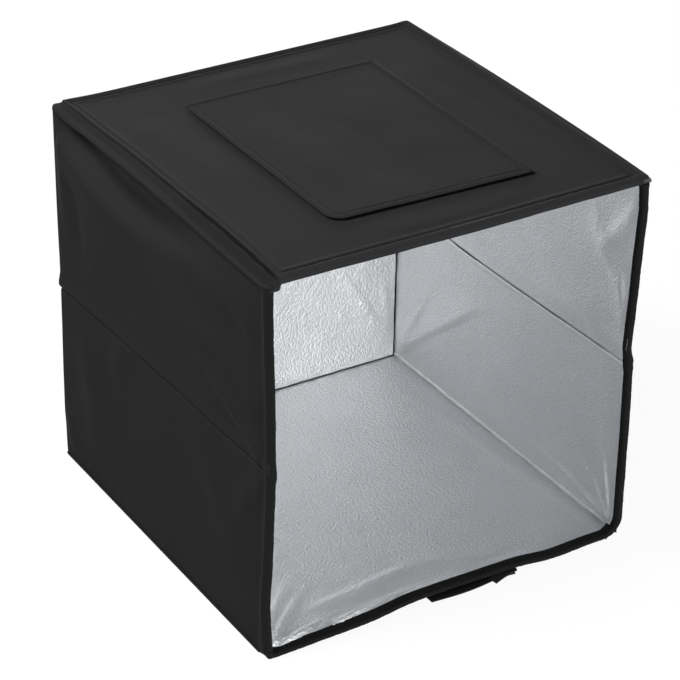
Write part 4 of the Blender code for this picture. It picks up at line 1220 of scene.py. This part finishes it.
def thread_stitches(name, body, path, up, length=2.9 * MM, pitch=3.6 * MM, radius=0.22 * MM):
    """Separate stitches of thread along a path on the cloth, each a short bent bead."""
    path = np.array(path, float)
    step = np.linalg.norm(np.diff(path, axis=0), axis=1)
    distance = np.concatenate([[0], np.cumsum(step)])
    starts = np.arange(pitch, distance[-1] - pitch, pitch)
    sides, rings = 6, 5
    turn = np.linspace(0, 2 * pi, sides, endpoint=False)
    verts, faces = [], []
    for start in starts:
        places = np.linspace(start, start + length, rings)
        spine = np.stack([np.interp(places, distance, path[:, axis]) for axis in range(3)], -1)
        heading = spine[-1] - spine[0]
        heading /= np.linalg.norm(heading)
        side = np.cross(heading, up)
        side /= np.linalg.norm(side)
        lift = np.cross(side, heading)
        first = len(verts)
        for number, centre in enumerate(spine):
            share = number / (rings - 1)
            width = radius * (0.35 + 0.65 * sin(pi * share))
            centre = centre + lift * radius * (1.2 * sin(pi * share) - 0.4)
            verts += [centre + width * (side * cos(t) + lift * sin(t)) for t in turn]
        for ring in range(rings - 1):
            for number in range(sides):
                a, b = first + ring * sides + number, first + ring * sides + (number + 1) % sides
                faces.append((a, b, b + sides, a + sides))
        faces.append(tuple(first + number for number in reversed(range(sides))))
        faces.append(tuple(first + (rings - 1) * sides + number for number in range(sides)))
    mesh = bpy.data.meshes.new(name)
    mesh.from_pydata([tuple(v) for v in verts], [], faces)
    mesh.validate()
    mesh.shade_smooth()
    return add_piece(name, mesh, body, THREAD)


def stitch_lines():
    """The stitches of the top's hem, one line on each side."""
    share = np.linspace(0, 1, 240)
    front = FRONT + HEM_STITCH - HEM_START["front"]
    rear = REAR + HEM_START["rear"] - HEM_STITCH
    right = TOP_X + HEM_START["right"] - HEM_STITCH
    along = front + (rear - front) * share
    left = hem_x(along) + HEM_STITCH - HEM_START["left"]
    lines = {"left": (left, along), "right": (right + 0 * share, along),
             "front": (left[0] + (right - left[0]) * share, front + 0 * share),
             "rear": (left[-1] + (right - left[-1]) * share, rear + 0 * share)}
    for side, (x, y) in lines.items():
        path = stacked(x, y, TOP + top_height(x, y))
        thread_stitches(f"top_{side}_stitches", "top", path, (0, 0, 1))


def flap_stitches(points):
    """Stitches along the groove of the flap's hem, on its surface."""
    inset_steps = 5
    flat = points[inset_steps:-inset_steps, inset_steps:-inset_steps] + np.array((0, 0, SKIN / 2))
    edges = (flat[0], flat[:, -1], flat[-1, ::-1], flat[::-1, 0])
    for number, edge in enumerate(edges):
        thread_stitches(f"flap_stitches_{number + 1}", "flap", edge, (0, 0, 1))


def light_hook_tapes():
    """The hook tape on each light bar's back."""
    for name in ("front_light", "rear_light"):
        low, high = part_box(name + "_hook_tape")
        x, y = grid(span(low.x, high.x, 2 * MM), span(low.y, high.y, FINE))
        z = (low.z + high.z) / 2 + 0.08 * MM * lumps(x, y, 2 * MM, 540)
        piece = add_cloth(name + "_hooks", stacked(x, y, z), high.z - low.z, "top", HOOK_LOOP,
                          name + "_hook_tape")


def dress_nodes():
    """Materials of the rigid nodes that stay."""
    leds = led_material(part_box("front_light_leds")[0].z + CHIP_HEIGHT)
    kinds = (("_board", BOARD), ("_channel", ALUMINIUM), ("_leds", leds), ("_cap", PLASTIC))
    for name, thing in frame["nodes"].items():
        for ending, material in kinds:
            if name.endswith(ending):
                thing.data.materials.clear()
                thing.data.materials.append(material)


def camera():
    """The photograph's view."""
    back = Vector((sin(AZIMUTH) * cos(ELEVATION), -cos(AZIMUTH) * cos(ELEVATION), sin(ELEVATION)))
    right = Vector((0, 0, 1)).cross(back).normalized()
    up = back.cross(right)
    rolled_right = cos(ROLL) * right + sin(ROLL) * up
    rolled_up = -sin(ROLL) * right + cos(ROLL) * up
    data = bpy.data.cameras.new("camera")
    data.lens = LENS
    data.sensor_width = SENSOR
    thing = bpy.data.objects.new("camera", data)
    bpy.context.scene.collection.objects.link(thing)
    turn = Matrix((rolled_right, rolled_up, back)).transposed().to_4x4()
    thing.matrix_world = Matrix.Translation(TARGET + back * DISTANCE) @ turn
    bpy.context.scene.camera = thing


def seen_share(tree):
    """1 for rays from the camera, a mirror or glass."""
    path = node(tree, "ShaderNodeLightPath")
    first = math(tree, "MAXIMUM", path.outputs["Is Camera Ray"], path.outputs["Is Glossy Ray"])
    return math(tree, "MAXIMUM", first, path.outputs["Is Transmission Ray"])


def world():
    """Plain studio light, white where it is seen."""
    world = bpy.data.worlds.new("studio")
    world.use_nodes = True
    tree = world.node_tree
    background = tree.nodes["Background"]
    background.inputs["Color"].default_value = (1, 1, 1, 1)
    seen = seen_share(tree)
    strength = math(tree, "ADD", math(tree, "MULTIPLY", seen, SEEN_LIGHT), WORLD_LIGHT)
    tree.links.new(strength, background.inputs["Strength"])
    bpy.context.scene.world = world


def studio_floor():
    """A pale floor that shows white and keeps a soft shadow."""
    bpy.ops.mesh.primitive_plane_add(size=STUDIO_WIDTH, location=(0, 0, -STUDIO_DROP))
    floor = bpy.context.object
    floor.name = "studio_floor"
    material, tree, shader = new_material("pale_floor", (0.12, 0.12, 0.12), 0.9, specular=0.0)
    paper = noise(tree, place_of(tree), 3 * MM)
    dressed(material, tinted(tree, paper, (0.119, 0.119, 0.119), (0.121, 0.121, 0.121)))
    shader.inputs["Emission Color"].default_value = (1, 1, 1, 1)
    glow = math(tree, "MULTIPLY", seen_share(tree), SEEN_LIGHT)
    tree.links.new(glow, shader.inputs["Emission Strength"])
    floor.data.materials.append(material)


def lamp(name, place, size, power):
    """A soft square lamp that faces the cube."""
    data = bpy.data.lights.new(name, "AREA")
    data.energy = power
    data.size = size
    thing = bpy.data.objects.new(name, data)
    bpy.context.scene.collection.objects.link(thing)
    thing.location = place
    thing.rotation_euler = (Vector(LAMP_AIM) - Vector(place)).to_track_quat("-Z", "Y").to_euler()


def build():
    """All pieces, then the studio."""
    side_wall("left", -1, LEFT_LOWER_CRESTS, LEFT_UPPER_CRESTS, 100)
    side_wall("right", 1, RIGHT_LOWER_FOLDS, RIGHT_UPPER_FOLDS, 200)
    floor_cloth()
    floor_outer_cloth()
    floor_binding()
    floor_seams()
    floor_back_seam()
    strap_and_pad()
    top_board()
    top_cloth()
    top_seam("left", -1)
    top_seam("right", 1)
    top_lining()
    corner_patch()
    closure_tape("window_loops", "window_loop_tape", "top")
    closure_tape("flap_hooks", "flap_hook_tape", "flap")
    flap_lining()
    flap_points = flap_cloth()
    flap_hinge()
    back_cloth()
    back_lining()
    light_hook_tapes()
    stitch_lines()
    flap_stitches(flap_points)
    dress_nodes()
    camera()
    world()
    studio_floor()
    for settings in LAMPS:
        lamp(*settings)
    bpy.context.scene.view_settings.view_transform = "Standard"


build()
